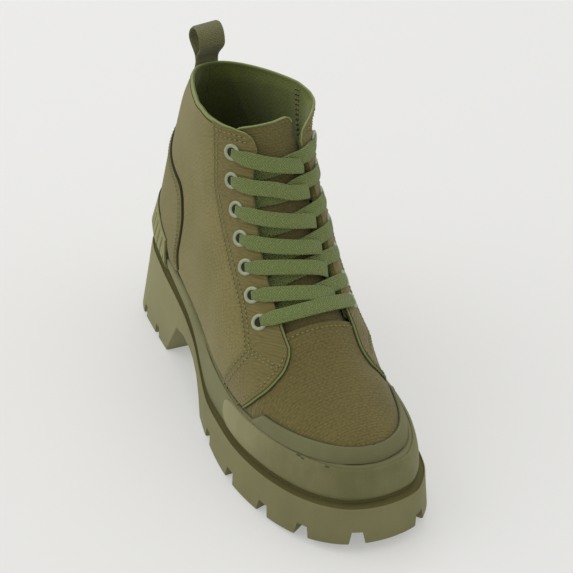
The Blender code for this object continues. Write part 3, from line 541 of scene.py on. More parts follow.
def add_node(tree: Tree, kind: str, links: Optional[dict] = None, **settings: object) -> bpy.types.Node:
    """Add a node.

    Args:
        tree: tree that gets it.
        kind: its type name.
        links: by input name or number, a value or the socket that feeds it.
        settings: its own properties.

    Returns:
        The node.
    """
    made = tree.nodes.new(kind)
    for name, value in settings.items():
        setattr(made, name, value)
    for name, value in (links or {}).items():
        if isinstance(value, Socket):
            tree.links.new(value, made.inputs[name])
        else:
            made.inputs[name].default_value = value
    return made


def add_math(tree: Tree, operation: str, *inputs: object) -> Socket:
    """Add a math node on values or sockets and give its result."""
    return add_node(tree, "ShaderNodeMath", dict(enumerate(inputs)), operation=operation).outputs[0]


def add_sum(tree: Tree, start: object, *terms: tuple) -> Socket:
    """Add values, each with its weight, to a start value or socket.

    Args:
        tree: tree that gets the nodes.
        start: start value or socket.
        terms: pairs of value and weight.

    Returns:
        Socket of the sum.
    """
    for value, weight in terms:
        start = add_math(tree, "MULTIPLY_ADD", value, weight, start)
    return start


def add_noise(tree: Tree, vector: Socket, scale: float, detail: float,
              roughness: float = 0.5) -> Socket:
    """Add a noise texture and give its value."""
    return add_node(tree, "ShaderNodeTexNoise", {"Vector": vector, "Scale": scale, "Detail": detail,
                                                 "Roughness": roughness}).outputs[0]


def add_scaled(tree: Tree, vector: Socket, scale: tuple) -> Socket:
    """Add a mapping that scales coordinates by axis."""
    return add_node(tree, "ShaderNodeMapping", {"Vector": vector, "Scale": scale}).outputs[0]


def add_axes(tree: Tree, vector: Socket) -> object:
    """Split coordinates into their axes."""
    return add_node(tree, "ShaderNodeSeparateXYZ", {0: vector}).outputs


def object_spot(tree: Tree) -> Socket:
    """Give the Object coordinates."""
    return add_node(tree, "ShaderNodeTexCoord").outputs["Object"]


def weave_spot(tree: Tree) -> Socket:
    """Give the coordinates of the piece's weave in millimetres."""
    return add_node(tree, "ShaderNodeUVMap", uv_map="weave").outputs["UV"]


@dataclass(frozen=True)
class Finish:
    """What every finish has: its name, two colours, roughness and the record's slot."""

    name: str
    light: str
    dark: str
    roughness: float
    slot: str

    def material(self) -> bpy.types.Material:
        """Give the finish's material, made once.

        Returns:
            The material.
        """
        name = f"{self.name}_finish"
        if name in bpy.data.materials:
            return bpy.data.materials[name]
        made = bpy.data.materials.new(name)
        made.use_nodes = True
        tree = made.node_tree
        tree.nodes.clear()
        colour, height, depth = self.pattern(tree)
        bump = add_node(tree, "ShaderNodeBump", {"Height": height, "Distance": depth * MM,
                                                 "Strength": 1.0})
        shader = add_node(tree, "ShaderNodeBsdfPrincipled",
                          {"Base Color": colour, "Roughness": self.roughness,
                           "Normal": bump.outputs["Normal"], **self.extras()})
        add_node(tree, "ShaderNodeOutputMaterial", {"Surface": shader.outputs["BSDF"]})
        return made

    def extras(self) -> dict:
        """Give the shader values that differ from the usual ones."""
        return {}

    def pattern(self, tree: Tree) -> tuple:
        """Build the pattern: sockets for colour and height, and the height's size in millimetres."""
        raise NotImplementedError

    def blend(self, tree: Tree, amount: Socket) -> Socket:
        """Mix the dark and the light colour by an amount.

        Args:
            tree: tree that gets the nodes.
            amount: share of the light colour.

        Returns:
            Socket of the colour.
        """
        mixed = add_node(tree, "ShaderNodeMix", {0: amount, 6: srgb(self.dark), 7: srgb(self.light)},
                         data_type="RGBA")
        return mixed.outputs[2]


@dataclass(frozen=True)
class Canvas(Finish):
    """Plain-weave cotton canvas: dull, with fine weft ribs, slubs and a slightly uneven dye."""

    pitch: float = 1.5      # the real 0.6 mm thread is too fine to show, so it is drawn coarser
    relief: float = 0.11
    crossing: float = 0.55  # share of the crossed threads beside the weft ribs
    slub_scale: tuple = (0.12, 0.75, 1.0)
    speck_scale: float = 0.8
    mottle_scale: float = 28.0
    start: float = -0.84    # of the lighter colour's share
    weights: tuple = (0.16, 0.3, 1.5, 0.8)  # of weave, slubs, specks and mottling in that share
    rough: float = 1.6      # weight of the specks in the height

    def extras(self) -> dict:
        """Cloth has a faint sheen at the edges and little gloss."""
        return {"Sheen Weight": 0.12, "Sheen Roughness": 0.6, "Specular IOR Level": 0.2, "IOR": 1.5}

    def pattern(self, tree: Tree) -> tuple:
        """Weave on the piece's UV map (in millimetres), with slubs along the threads and mottling.

        Args:
            tree: tree that gets the nodes.

        Returns:
            Sockets for colour and height, and the height's size in millimetres.
        """
        uv = weave_spot(tree)
        axes = add_axes(tree, uv)
        warp, weft = (add_math(tree, "SINE", add_math(tree, "MULTIPLY", axes[name], math.pi / self.pitch))
                      for name in "XY")
        crossed = add_math(tree, "MULTIPLY", warp, weft)
        weave = add_sum(tree, add_math(tree, "ABSOLUTE", weft), (crossed, self.crossing))
        slub = add_noise(tree, add_scaled(tree, uv, self.slub_scale), 1.0, 3.0, 0.6)
        speck = add_noise(tree, uv, self.speck_scale, 3.0)
        mottle = add_noise(tree, object_spot(tree), self.mottle_scale, 4.0)
        share = add_sum(tree, self.start, *zip((weave, slub, speck, mottle), self.weights))
        return self.blend(tree, share), add_sum(tree, weave, (speck, self.rough)), self.relief


@dataclass(frozen=True)
class Rubber(Finish):
    """Matt moulded rubber: faint cloudy flow marks, a fine sandy grain, and painted light that makes it
    lighter towards the heel.
    """

    grain: float = 0.9      # moulded grit of about 0.4 mm, drawn coarser so that it shows
    fade: float = 2.4       # painted light: for each metre towards the heel it gets this much of the lighter colour
    base: float = -0.25     # share of it at the middle of the boot, before the clouds
    relief: float = 0.035
    cloud_scale: float = 22.0
    streak_scale: tuple = (120.0, 120.0, 18.0)
    weights: tuple = (1.0, 0.3, 0.2)        # of clouds, upright streaks and grit in the colour

    def extras(self) -> dict:
        """Rubber keeps a broad soft gloss."""
        return {"Specular IOR Level": 0.12, "IOR": 1.52}

    def pattern(self, tree: Tree) -> tuple:
        """Cloudy colour, grit and painted light towards the heel, on Object coordinates.

        Args:
            tree: tree that gets the nodes.

        Returns:
            Sockets for colour and height, and the height's size in millimetres.
        """
        spot = object_spot(tree)
        cloud = add_noise(tree, spot, self.cloud_scale, 5.0, 0.55)
        streak = add_noise(tree, add_scaled(tree, spot, self.streak_scale), 1.0, 3.0)
        grit = add_noise(tree, spot, 1 / (self.grain * MM), 2.0)
        # painted light: more of the lighter colour towards the heel
        painted_light_share = add_math(tree, "MULTIPLY_ADD", add_axes(tree, spot)["Y"], self.fade, self.base)
        share = add_sum(tree, painted_light_share, *zip((cloud, streak, grit), self.weights))
        return self.blend(tree, share), grit, self.relief


@dataclass(frozen=True)
class Braid(Finish):
    """Flat braided or twilled cotton: herringbone ridges along the strip."""

    pitch: float = 1.5      # strands of 0.8 mm, drawn coarser so that they show
    uneven: float = 1.6     # how far the strands wander, in millimetres
    slant: float = 1.0
    half: float = 4.0       # half-width of the strip
    ways: float = 2.0       # herringbone columns across the strip
    relief: float = 0.22
    drift_scale: float = 0.7
    fuzz_scale: float = 0.9
    start: float = 0.08     # of the lighter colour's share
    weights: tuple = (0.26, 0.9)            # of strands and fuzz in that share

    def extras(self) -> dict:
        """Cotton strands have a soft sheen."""
        return {"Sheen Weight": 0.15, "Sheen Roughness": 0.5, "Specular IOR Level": 0.25, "IOR": 1.5}

    def pattern(self, tree: Tree) -> tuple:
        """Slanted strands that change way at each column, on the strip's UV map in millimetres.

        Args:
            tree: tree that gets the nodes.

        Returns:
            Sockets for colour and height, and the height's size in millimetres.
        """
        uv = weave_spot(tree)
        axes = add_axes(tree, uv)
        fold = add_math(tree, "PINGPONG", axes["X"], 2 * self.half / self.ways)
        drift = add_noise(tree, uv, self.drift_scale, 2.0)
        loose = add_sum(tree, axes["Y"], (fold, self.slant), (drift, self.uneven))
        strand = add_math(tree, "SINE", add_math(tree, "MULTIPLY", loose, 2 * math.pi / self.pitch))
        fuzz = add_noise(tree, uv, self.fuzz_scale, 3.0)
        share = add_sum(tree, self.start, *zip((strand, fuzz), self.weights))
        return self.blend(tree, share), strand, self.relief


@dataclass(frozen=True)
class Plain(Finish):
    """Small dull or painted parts whose colour varies a little: thread, tape, eyelet paint, and dark lines of
    painted shade.
    """

    size: float = 2.0
    relief: float = 0.05
    metallic: float = 0.0

    def extras(self) -> dict:
        """Metal parts carry their metallic value."""
        return {"Metallic": self.metallic}

    def pattern(self, tree: Tree) -> tuple:
        """Blotches on Object coordinates."""
        blotch = add_noise(tree, object_spot(tree), 1 / (self.size * MM), 3.0)
        return self.blend(tree, blotch), blotch, self.relief


QUARTER_CANVAS = Canvas("quarter_canvas", "#837b49", "#645c31", 0.92, "canvas")
COUNTER_CANVAS = Canvas("counter_canvas", "#7c7440", "#5e572b", 0.92, "canvas")
FACING_CANVAS = Canvas("facing_canvas", "#796f42", "#5a512b", 0.92, "canvas")
# painted shade: the vamp's colours are darker than the quarters' because its top gets less light
VAMP_CANVAS = Canvas("vamp_canvas", "#72683a", "#504723", 0.93, "canvas")
TONGUE_CANVAS = Canvas("tongue_canvas", "#6e663b", "#4d4625", 0.93, "canvas")
LINING = Canvas("lining_twill", "#6d7536", "#49501f", 0.95, "lining", pitch=1.8, relief=0.06)
OUTSOLE_RUBBER = Rubber("outsole_rubber", "#8a8861", "#726f4d", 0.62, "outsole_rubber")
MIDSOLE_RUBBER = Rubber("midsole_rubber", "#83815e", "#6c6a49", 0.6, "midsole_rubber")
# painted shade: dark strips in the channel under the midsole's wall and in the gutter beside the canvas
CHANNEL_SHADE = Rubber("channel_painted_shade", "#716d45", "#5e5a37", 0.7, "midsole_rubber")
GUTTER_SHADE = Rubber("gutter_painted_shade", "#656340", "#53512f", 0.7, "midsole_rubber")
# painted light: the bumper's lighter colour grows fast towards its rear end, where more light falls on it
BUMPER_RUBBER = Rubber("bumper_rubber", "#96946d", "#686644", 0.6, "midsole_rubber", fade=8.0, base=0.32)
CAP_RUBBER = Rubber("cap_rubber", "#7c7b58", "#696748", 0.58, "cap_rubber")
TAB_RUBBER = Rubber("tab_rubber", "#8f8e60", "#77774a", 0.6, "cap_rubber")
LACE_BRAID = Braid("lace_braid", "#838f55", "#5a6933", 0.85, "braid")
LOOP_WEBBING = Braid("loop_webbing", "#807e56", "#5a5937", 0.9, "webbing", half=8.25, ways=12.0, pitch=1.4,
                     uneven=0.7)
BINDING_TAPE = Plain("binding_tape", "#8c9660", "#6f7b45", 0.9, "lining")
PIPING_TAPE = Plain("piping_tape", "#7d8850", "#626e39", 0.9, "lining")
# painted shadow: near-black lines and cups put where deep shade falls in gaps and holes
EDGE_DARK = Plain("edge_painted_shadow", "#2c2813", "#1d1a0b", 0.95, "lining")
# a dark seam line beside the piping, and lines of painted shade under the collar's tape and beside the piping
# on the vamp
EDGE_SEAM_AND_SHADE = Plain("edge_seam_and_shade", "#413d20", "#302d16", 0.95, "lining")
# painted shade along the cap's upper edge and in the needle holes, and the colour of the real scuffs on the
# bumper
EDGE_SHADE_AND_SCUFF = Plain("edge_shade_and_scuff", "#4c4830", "#3a3722", 0.9, "cap_rubber")
THREAD = Plain("olive_thread", "#8d8a58", "#6a673c", 0.8, "canvas", size=1.2)
EYELET_PAINT = Plain("painted_eyelet", "#a0a889", "#80886c", 0.4, "eyelet_metal", metallic=0.25)


@dataclass
class Piece:
    """One finished mesh: points in millimetres, faces and the weave's coordinates per point."""

    name: str
    finish: Finish
    points: list = field(default_factory=list)
    faces: list = field(default_factory=list)
    weave: list = field(default_factory=list)
    count: int = 0

    def add(self, points: Array, faces: Sequence[Sequence[int]], weave: Optional[Array] = None) -> None:
        """Add points and faces.

        Args:
            points: points in millimetres.
            faces: faces numbered within these points.
            weave: pattern coordinates of the points in millimetres.
        """
        flat = np.asarray(points, float).reshape(-1, 3)
        self.points.append(flat)
        self.weave.append(np.zeros((len(flat), 2)) if weave is None else np.asarray(weave).reshape(-1, 2))
        self.faces += [[int(v) + self.count for v in face] for face in faces]
        self.count += len(flat)

    def add_shell(self, outer: Array, inner: Array, weave: Array) -> None:
        """Add a closed wall between two grids of points.

        Args:
            outer: grid of the outer face.
            inner: grid of the inner face.
            weave: grid of pattern coordinates.
        """
        rows, columns = outer.shape[:2]
        ids = np.arange(rows * columns).reshape(rows, columns)
        quads = np.stack([ids[:-1, :-1], ids[:-1, 1:], ids[1:, 1:], ids[1:, :-1]], -1).reshape(-1, 4)
        flat, back = outer.reshape(-1, 3), inner.reshape(-1, 3)
        corners = flat[quads]
        facing = np.cross(corners[:, 2] - corners[:, 0], corners[:, 3] - corners[:, 1])
        if np.sum(facing * (flat - back)[quads[:, 0]]) < 0:
            quads = quads[:, ::-1]
        edge = np.concatenate([ids[0, :-1], ids[:-1, -1], ids[-1, :0:-1], ids[:0:-1, 0]])
        after = np.roll(edge, -1)
        count = rows * columns
        rim = np.stack([edge, after, after + count, edge + count], -1)
        faces = np.concatenate([quads, quads[:, ::-1] + count, rim])
        self.add(np.concatenate([flat, back]), faces.tolist(),
                 np.concatenate([weave.reshape(-1, 2)] * 2))

    def add_rings(self, rings: Sequence[Array], weave: Optional[Array] = None,
                  ends: Ends = Ends.FLAT) -> None:
        """Add a stack of equal rings.

        Args:
            rings: rings of points.
            weave: pattern coordinates, one pair for each point of each ring.
            ends: how the stack ends.
        """
        count, levels = len(rings[0]), len(rings)
        top = (levels - 1) * count
        faces = []
        for level in range(levels if ends is Ends.JOINED else levels - 1):
            base, over = level * count, (level + 1) % levels * count
            faces += [[base + k, base + (k + 1) % count, over + (k + 1) % count, over + k]
                      for k in range(count)]
        if ends is Ends.FLAT:
            faces += [list(range(count))[::-1], list(range(top, top + count))]
        elif ends is Ends.ACROSS:
            faces += ladder(count, 0) + ladder(count, top)
        self.add(np.concatenate(rings), faces, weave)

    def build(self, sharp: float = 50.0) -> Made:
        """Make the object, with merged doubles, outward faces and smooth shading up to an angle.

        Args:
            sharp: degrees between faces from which an edge shows.

        Returns:
            The object.
        """
        mesh = bpy.data.meshes.new(self.name)
        points = np.concatenate(self.points)
        mesh.from_pydata((points * MM).tolist(), [], self.faces)
        layer = mesh.uv_layers.new(name="weave")
        weave = np.concatenate(self.weave)
        loops = np.empty(len(mesh.loops), int)
        mesh.loops.foreach_get("vertex_index", loops)
        layer.data.foreach_set("uv", weave[loops].astype(np.float32).ravel())
        work = bmesh.new()
        work.from_mesh(mesh)
        bmesh.ops.remove_doubles(work, verts=work.verts, dist=MERGE_DIST)
        bmesh.ops.dissolve_degenerate(work, edges=work.edges, dist=FLAT_DIST)
        bmesh.ops.recalc_face_normals(work, faces=work.faces)
        work.to_mesh(mesh)
        work.free()
        mesh.shade_smooth()
        mesh.set_sharp_from_angle(angle=math.radians(sharp))
        made = bpy.data.objects.new(self.name, mesh)
        made.data.materials.append(self.finish.material())
        bpy.context.collection.objects.link(made)
        return made

    def settle(self, made: Made, *nodes: str) -> None:
        """Tie the object to the frame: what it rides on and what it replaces.

        Args:
            made: the object.
            nodes: nodes of the frame that it replaces.
        """
        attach(made, "root")
        if nodes:
            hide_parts(*nodes)
        LOG.info("%s: %d faces", made.name, len(made.data.polygons))

    def place(self, *nodes: str, sharp: float = 50.0) -> None:
        """Make the object and tie it to the frame."""
        self.settle(self.build(sharp), *nodes)


def ladder(count: int, base: int) -> list[list[int]]:
    """Give faces that close a ring of points straight across.

    Args:
        count: points in the ring.
        base: number of its first point.

    Returns:
        The faces.
    """
    half = count // 2
    faces = []
    for k in range(half):
        corner = [k, k + 1, count - k - 1, (count - k) % count]
        faces.append([base + v for v in dict.fromkeys(corner)])
    return [face for face in faces if len(face) > 2]


def sweep(path: Array, normals: Array, profile: Array, guide: Optional[Array] = None,
          scale: Optional[Array] = None) -> list[Array]:
    """Carry a profile along a path.

    Args:
        path: points of the path.
        normals: outward direction at each point.
        profile: pairs of distance outwards and distance across the path.
        guide: line that gives the direction of travel, if that isn't the path itself.
        scale: size of the profile at each point, if it changes.

    Returns:
        One ring of points for each point of the path.
    """
    along = unit(np.gradient(path if guide is None else guide, axis=0))
    across = unit(np.cross(normals, along))
    up = np.cross(along, across)
    sizes = np.ones(len(path)) if scale is None else scale
    return [p + size * (profile[:, :1] * u + profile[:, 1:] * a)
            for p, u, a, size in zip(path, up, across, sizes)]


def round_profile(radius: float, count: int = 10) -> Array:
    """Give a circle of points as a profile."""
    angle = np.linspace(0, 2 * math.pi, count, endpoint=False)
    return radius * np.stack([np.cos(angle), np.sin(angle)], -1)


@dataclass
class OutsoleTread:
    """Moulded tread with heel block, arch, toe spring and notched lugs."""

    sole: SoleForm
    edge_round: float = 1.2
    corner: float = 0.36        # inset and rise of the point on that rounding
    wall_shares: tuple = (0.3, 0.65)
    wall_top: float = 3.0       # the wall's straight part ends this far under the ledge
    # inset from the wall's top edge and drop, over the lip and down to the channel
    lip: tuple = ((0.0, 0.9), (0.2, 0.35), (0.55, 0.05), (0.6, 0.0), (0.95, 0.4), (1.1, 1.0))
    channel_drop: float = 1.0
    channel_reach: float = 2.0  # the channel goes this far in under the midsole
    stations: int = 150
    # s and side of each edge notch, and its width at the floor
    notches: tuple = ((9.5, -1, 9), (9.5, 1, 9), (36.5, -1, 8.5), (36.5, 1, 8.5), (61, -1, 8.5),
                      (61, 1, 8.5), (170.5, -1, 11), (163, 1, 11), (206.5, -1, 11), (194, 1, 11),
                      (238, -1, 10.5), (226, 1, 10.5), (263.5, -1, 10), (256, 1, 10),
                      (282.6, -1, 10), (279.6, 1, 10))
    notch_high: float = 7.5
    notch_taper: float = 0.6
    notch_reach: float = 15.0
    groove_deep: float = 3.0
    groove_reach: float = 30.0
    groove_wide: float = 0.5    # of the notch's width
    groove_s: tuple = (10, 270)     # no grooves at the heel's back and the toe's tip
    cutter_past: float = 6.0    # the cutters stand out this far past the wall and under the floor
    cutter_under: float = 3.0
    sharp: float = 32.0         # degrees between faces from which an edge shows

    def rings(self) -> list[Array]:
        """Give the rings of the body from the floor to the channel behind the wall.

        Returns:
            Rings of points.
        """
        sole = self.sole
        extra = sole.turn(np.array([a[0] for a in sole.arch], float))
        angles = np.unique(np.round(np.concatenate([np.linspace(0, math.pi, self.stations), extra]), 5))
        rings = [sole.ring(angles, inset, lambda s: sole.underside(s) + rise) for inset, rise in
                 ((self.edge_round, 0.0), (self.corner, self.corner), (0.0, self.edge_round))]
        for share in self.wall_shares:
            rings.append(sole.ring(angles, lambda s: sole.flare(s) * share,
                                   lambda s: sole.underside(s) + self.edge_round
                                   + share * (sole.ledge(s) - sole.underside(s) - self.wall_top)))
        for inset, drop in self.lip:
            rings.append(sole.ring(angles, lambda s: sole.flare(s) + inset, lambda s: sole.ledge(s) - drop))
        rings.append(sole.ring(angles, lambda s: sole.inset_low(s) + self.channel_reach,
                               lambda s: sole.ledge(s) - self.channel_drop))
        return rings

    def boxes(self, name: str, reach: float, wide: float, high: float, inner: bool) -> Made:
        """Make tapered boxes at the notches.

        Args:
            name: name of the cutter.
            reach: how far they go in from the tread's edge.
            wide: their width as a share of the notch's.
            high: their height above the underside.
            inner: whether the ones at the heel's back and the toe's tip are left out.

        Returns:
            The cutter.
        """
        points, faces = [], []
        for s, way, width in self.notches:
            if inner and not self.groove_s[0] < s < self.groove_s[1]:
                continue
            plan, normal = (p[0] for p in self.sole.outline([float(self.sole.turn(s))], Side(way)))
            along = np.array([-normal[1], normal[0]])
            floor = float(self.sole.underside(s))
            base = len(points)
            for depth in (-self.cutter_past, reach):
                for share, z in ((1.0, floor - self.cutter_under), (self.notch_taper, floor + high)):
                    for half in (-0.5, 0.5):
                        x, t = plan - normal * depth + along * half * share * wide * width
                        points.append(self.sole.place(x, t, z))
            faces += [[base + k for k in face] for face in
                      ((0, 1, 3, 2), (4, 6, 7, 5), (0, 4, 5, 1), (2, 3, 7, 6), (0, 2, 6, 4), (1, 5, 7, 3))]
        piece = Piece(name, OUTSOLE_RUBBER)
        piece.add(np.array(points), faces)
        return piece.build()

    def build(self) -> None:
        """Make the body, cut the notches and settle it."""
        piece = Piece("outsole_tread", OUTSOLE_RUBBER)
        piece.add_rings(self.rings(), ends=Ends.ACROSS)
        body = piece.build(self.sharp)
        cutters = [self.boxes("lug_notches", self.notch_reach, 1.0, self.notch_high, False),
                   self.boxes("tread_grooves", self.groove_reach, self.groove_wide, self.groove_deep, True)]
        for cutter in cutters:
            boolean = body.modifiers.new(cutter.name, "BOOLEAN")
            boolean.operation, boolean.object, boolean.solver = "DIFFERENCE", cutter, "EXACT"
        cut = bake(body)
        for cutter in cutters:
            bpy.data.objects.remove(cutter)
        cut.data.shade_smooth()
        cut.data.set_sharp_from_angle(angle=math.radians(self.sharp))
        piece.settle(cut, "outsole")


def bake(made: Made) -> Made:
    """Turn an object's modifiers into plain mesh.

    Args:
        made: object with modifiers.

    Returns:
        The same object with its new mesh.
    """
    graph = bpy.context.evaluated_depsgraph_get()
    mesh = bpy.data.meshes.new_from_object(made.evaluated_get(graph), depsgraph=graph)
    made.modifiers.clear()
    old = made.data
    made.data = mesh
    bpy.data.meshes.remove(old)
    return made


@dataclass
class MidsoleCup:
    """Rubber cup: side wall, rounded rim and thicker toe bumper."""

    sole: SoleForm
    last: LastForm
    fit_gap: float = 0.3
    swell: float = 0.9
    foot_drop: float = 3.0              # the wall's foot lies this far under the outsole's lip
    undercut: float = 1.0
    undercut_high: float = 1.3          # above the lip, where the undercut ends
    foot_round: float = 0.9             # height of the rounding over it
    inner_drop: float = 9.0             # the inner face goes this far down behind the rim
    gutter: float = 1.2                 # depth of the gutter beside the canvas
    gutter_wide: float = 0.4
    # distance out from the canvas and drop under the gutter's floor of its dark strip of painted shade
    gutter_ring: tuple = ((0.1, 1.0), (0.1, -0.15), (0.5, -0.2), (1.3, -0.75), (1.3, 1.0))
    # share of the wall's height and inset, from the rounded rim down
    levels: tuple = ((1.0, 1.9), (0.99, 1.1), (0.95, 0.4), (0.88, 0.05), (0.8, 0.0), (0.68, 0.0),
                     (0.55, 0.0), (0.42, 0.0), (0.3, 0.0), (0.2, 0.0), (0.12, 0.0), (0.05, 0.0), (0.0, 0.0))
    # height from the undercut's top and share of its depth
    under_levels: tuple = ((0.7, 5 / 36), (0.4, 4 / 9), (0.2, 7 / 9), (0.0, 1.0), (-0.5, 1.0))
    band_levels: tuple = (-1.8, -0.75, 0.95)    # heights from the lip of the dark band of painted shade in the channel
    band_inset: float = 1.0             # from the wall's top edge to the band
    band_out: float = 0.3               # the band lies this far outside the undercut wall
    band_in: float = 0.4
    bumper_s: float = 185.0             # where the bumper's panel begins at half its height
    bumper_round: float = 9.0           # by how much later it begins at its rounded corners
    bumper_powers: tuple = (8, 2.6)     # how square its upper and lower corner are
    bumper_proud: float = 1.1
    bumper_edge: float = 0.45           # its edge is lower by this much
    bumper_sunk: float = 0.3
    bumper_shares: tuple = (0.05, 0.95)    # of the wall's height
    scuffs: tuple = ((252.6, 255.0, 0.95), (255.8, 257.4, 0.92), (269.4, 271.2, 0.94))  # s, s, share
    scuff_wide: float = 0.3
    stations: int = 170
    sharp: float = 42.0
    bumper_sharp: float = 60.0

    def rim_line(self, side: Side) -> Array:
        """Give the line of the rim on the last from the back seam to the toe.

        Args:
            side: side of the foot.

        Returns:
            Scene points.
        """
        line = self.last.rim_line(side, (60, 200))
        line[[0, -1], 0] = -self.sole.x_middle
        return resample(line, self.stations)

    def face(self, s: Array, share: Array, rim: Array) -> tuple[Array, Array]:
        """Give inset and height of the swelling wall at a share of its height below the rim.

        Args:
            s: distances from the heel's back.
            share: share of the wall's height.
            rim: height of its top.

        Returns:
            Insets from the tread and heights.
        """
        low, start = self.sole.inset_low(s), self.sole.ledge(s) + self.undercut_high + self.foot_round
        inset = low + (self.sole.inset_top(s) - low) * share - self.swell * 4 * share * (1 - share)
        return inset, start + share * (rim - start)

    def wall(self, plan: Array, normal: Array, inset: Array, z: Array) -> Array:
        """Give points of the wall at an inset from the tread."""
        spot = plan - normal * np.reshape(inset, (-1, 1))
        return self.sole.place(spot[:, 0], spot[:, 1], z)

    def side_levels(self, side: Side) -> tuple[Array, Array, Array]:
        """Give one side's levels of the cup, of the band of painted shade in the channel and of the gutter's
        strip of painted shade.

        Args:
            side: side of the foot.

        Returns:
            Three grids of points, one row for each level.
        """
        sole, rim = self.sole, self.rim_line(side)
        angle = sole.nearest(np.stack([rim[:, 0] + sole.x_middle, sole.length / 2 - rim[:, 1]], -1), side)
        angle[0], angle[-1] = 0.0, math.pi
        plan, normal = sole.outline(angle, side)
        s = np.clip(plan[:, 1], 0, sole.length)
        flat = np.stack([normal[:, 0], -normal[:, 1], np.zeros(len(s))], -1)
        foot, ledge = sole.inset_low(s) + self.undercut, sole.ledge(s)

        def beside(out: float, down: float) -> Array:
            """Give points out from the canvas and down from the rim."""
            return rim + flat * (self.fit_gap + out) - [0, 0, down]

        cup = [beside(0.0, self.inner_drop), beside(0.0, self.gutter), beside(self.gutter_wide, self.gutter)]
        for share, in_by in self.levels:
            inset, z = self.face(s, share, rim[:, 2])
            cup.append(self.wall(plan, normal, inset + in_by, z))
        for up, part in self.under_levels:
            cup.append(self.wall(plan, normal, foot - (1 - part) * self.undercut,
                                 ledge + self.undercut_high + up))
        cup.append(self.wall(plan, normal, foot, ledge - self.foot_drop))
        lip, out, back = sole.flare(s) + self.band_inset, foot - self.band_out, foot + self.band_in
        low, step, high = self.band_levels
        band = [self.wall(plan, normal, inset, ledge + up) for inset, up in
                ((lip, low), (lip, step), (out, step), (out, high), (back, high), (back, low))]
        gutter = [beside(out, self.gutter + down) for out, down in self.gutter_ring]
        return np.array(cup), np.array(band), np.array(gutter)

    def build(self) -> None:
        """Make the cup round the last with the painted shade in its channel and gutter, and the bumper."""
        cups, bands, gutters = zip(*(self.side_levels(side) for side in SIDES))
        for name, finish, sides, ends, nodes in (
                ("midsole_cup", MIDSOLE_RUBBER, cups, Ends.ACROSS, ["midsole"]),
                # painted shade: the channel's band and the gutter's strip
                ("channel_shade_band", CHANNEL_SHADE, bands, Ends.JOINED, []),
                ("rim_gutter_shade", GUTTER_SHADE, gutters, Ends.JOINED, [])):
            piece = Piece(name, finish)
            piece.add_rings(np.concatenate([sides[0], sides[1][:, -2:0:-1]], axis=1), ends=ends)
            piece.place(*nodes, sharp=self.sharp)
        self.build_bumper()
        self.build_scuffs()

    def build_bumper(self) -> None:
        """Make the toe bumper's panel on the wall, with rounded rear corners."""
        sole = self.sole
        share = np.linspace(*self.bumper_shares, 18)[:, None]
        corner = 2 * (share - self.bumper_shares[0]) / np.ptp(self.bumper_shares) - 1
        upper, lower = self.bumper_powers
        corner = np.where(corner > 0, corner ** upper, np.abs(corner) ** lower)
        begin = sole.turn(self.bumper_s + self.bumper_round * corner)
        angles = begin + (math.pi - begin) * edged([0, 0.002], (0.006, 1), 130)
        grids: dict[float, list] = {self.bumper_proud: [], self.bumper_proud - self.bumper_edge: [],
                                    -self.bumper_sunk: []}
        for side in SIDES:
            plan, normal = sole.outline(angles, side)
            s = np.clip(plan[..., 1], 0, sole.length)
            inset, z = self.face(s, share, sole.rim(s))
            for proud, parts in grids.items():
                spot = plan - normal * (inset - proud)[..., None]
                grid = sole.place(spot[..., 0], spot[..., 1], z)
                parts.append(grid if side is Side.LATERAL else grid[:, -2::-1])
        high, soft, inner = (np.concatenate(parts, axis=1) for parts in grids.values())
        edge = np.zeros(high.shape[:2], bool)
        edge[[0, -1]] = edge[:, [0, -1]] = True
        piece = Piece("toe_bumper_panel", BUMPER_RUBBER)
        piece.add_shell(np.where(edge[..., None], soft, high), inner, high[..., :2])
        piece.place(sharp=self.bumper_sharp)

    def build_scuffs(self) -> None:
        """Make the small dark nicks that wear has left along the bumper's upper edge."""
        sole = self.sole
        piece = Piece("bumper_scuffs", EDGE_SHADE_AND_SCUFF)
        for begin, end, share in self.scuffs:
            plan, normal = sole.outline(sole.turn(np.linspace(begin, end, 9)), Side.LATERAL)
            inset, z = self.face(plan[:, 1], share, sole.rim(plan[:, 1]))
            path = self.wall(plan, normal, inset - self.bumper_proud, z)
            facing = np.concatenate([normal * [1, -1], np.zeros((len(plan), 1))], axis=1)
            piece.add_rings(sweep(path, facing, round_profile(self.scuff_wide)))
        piece.place()


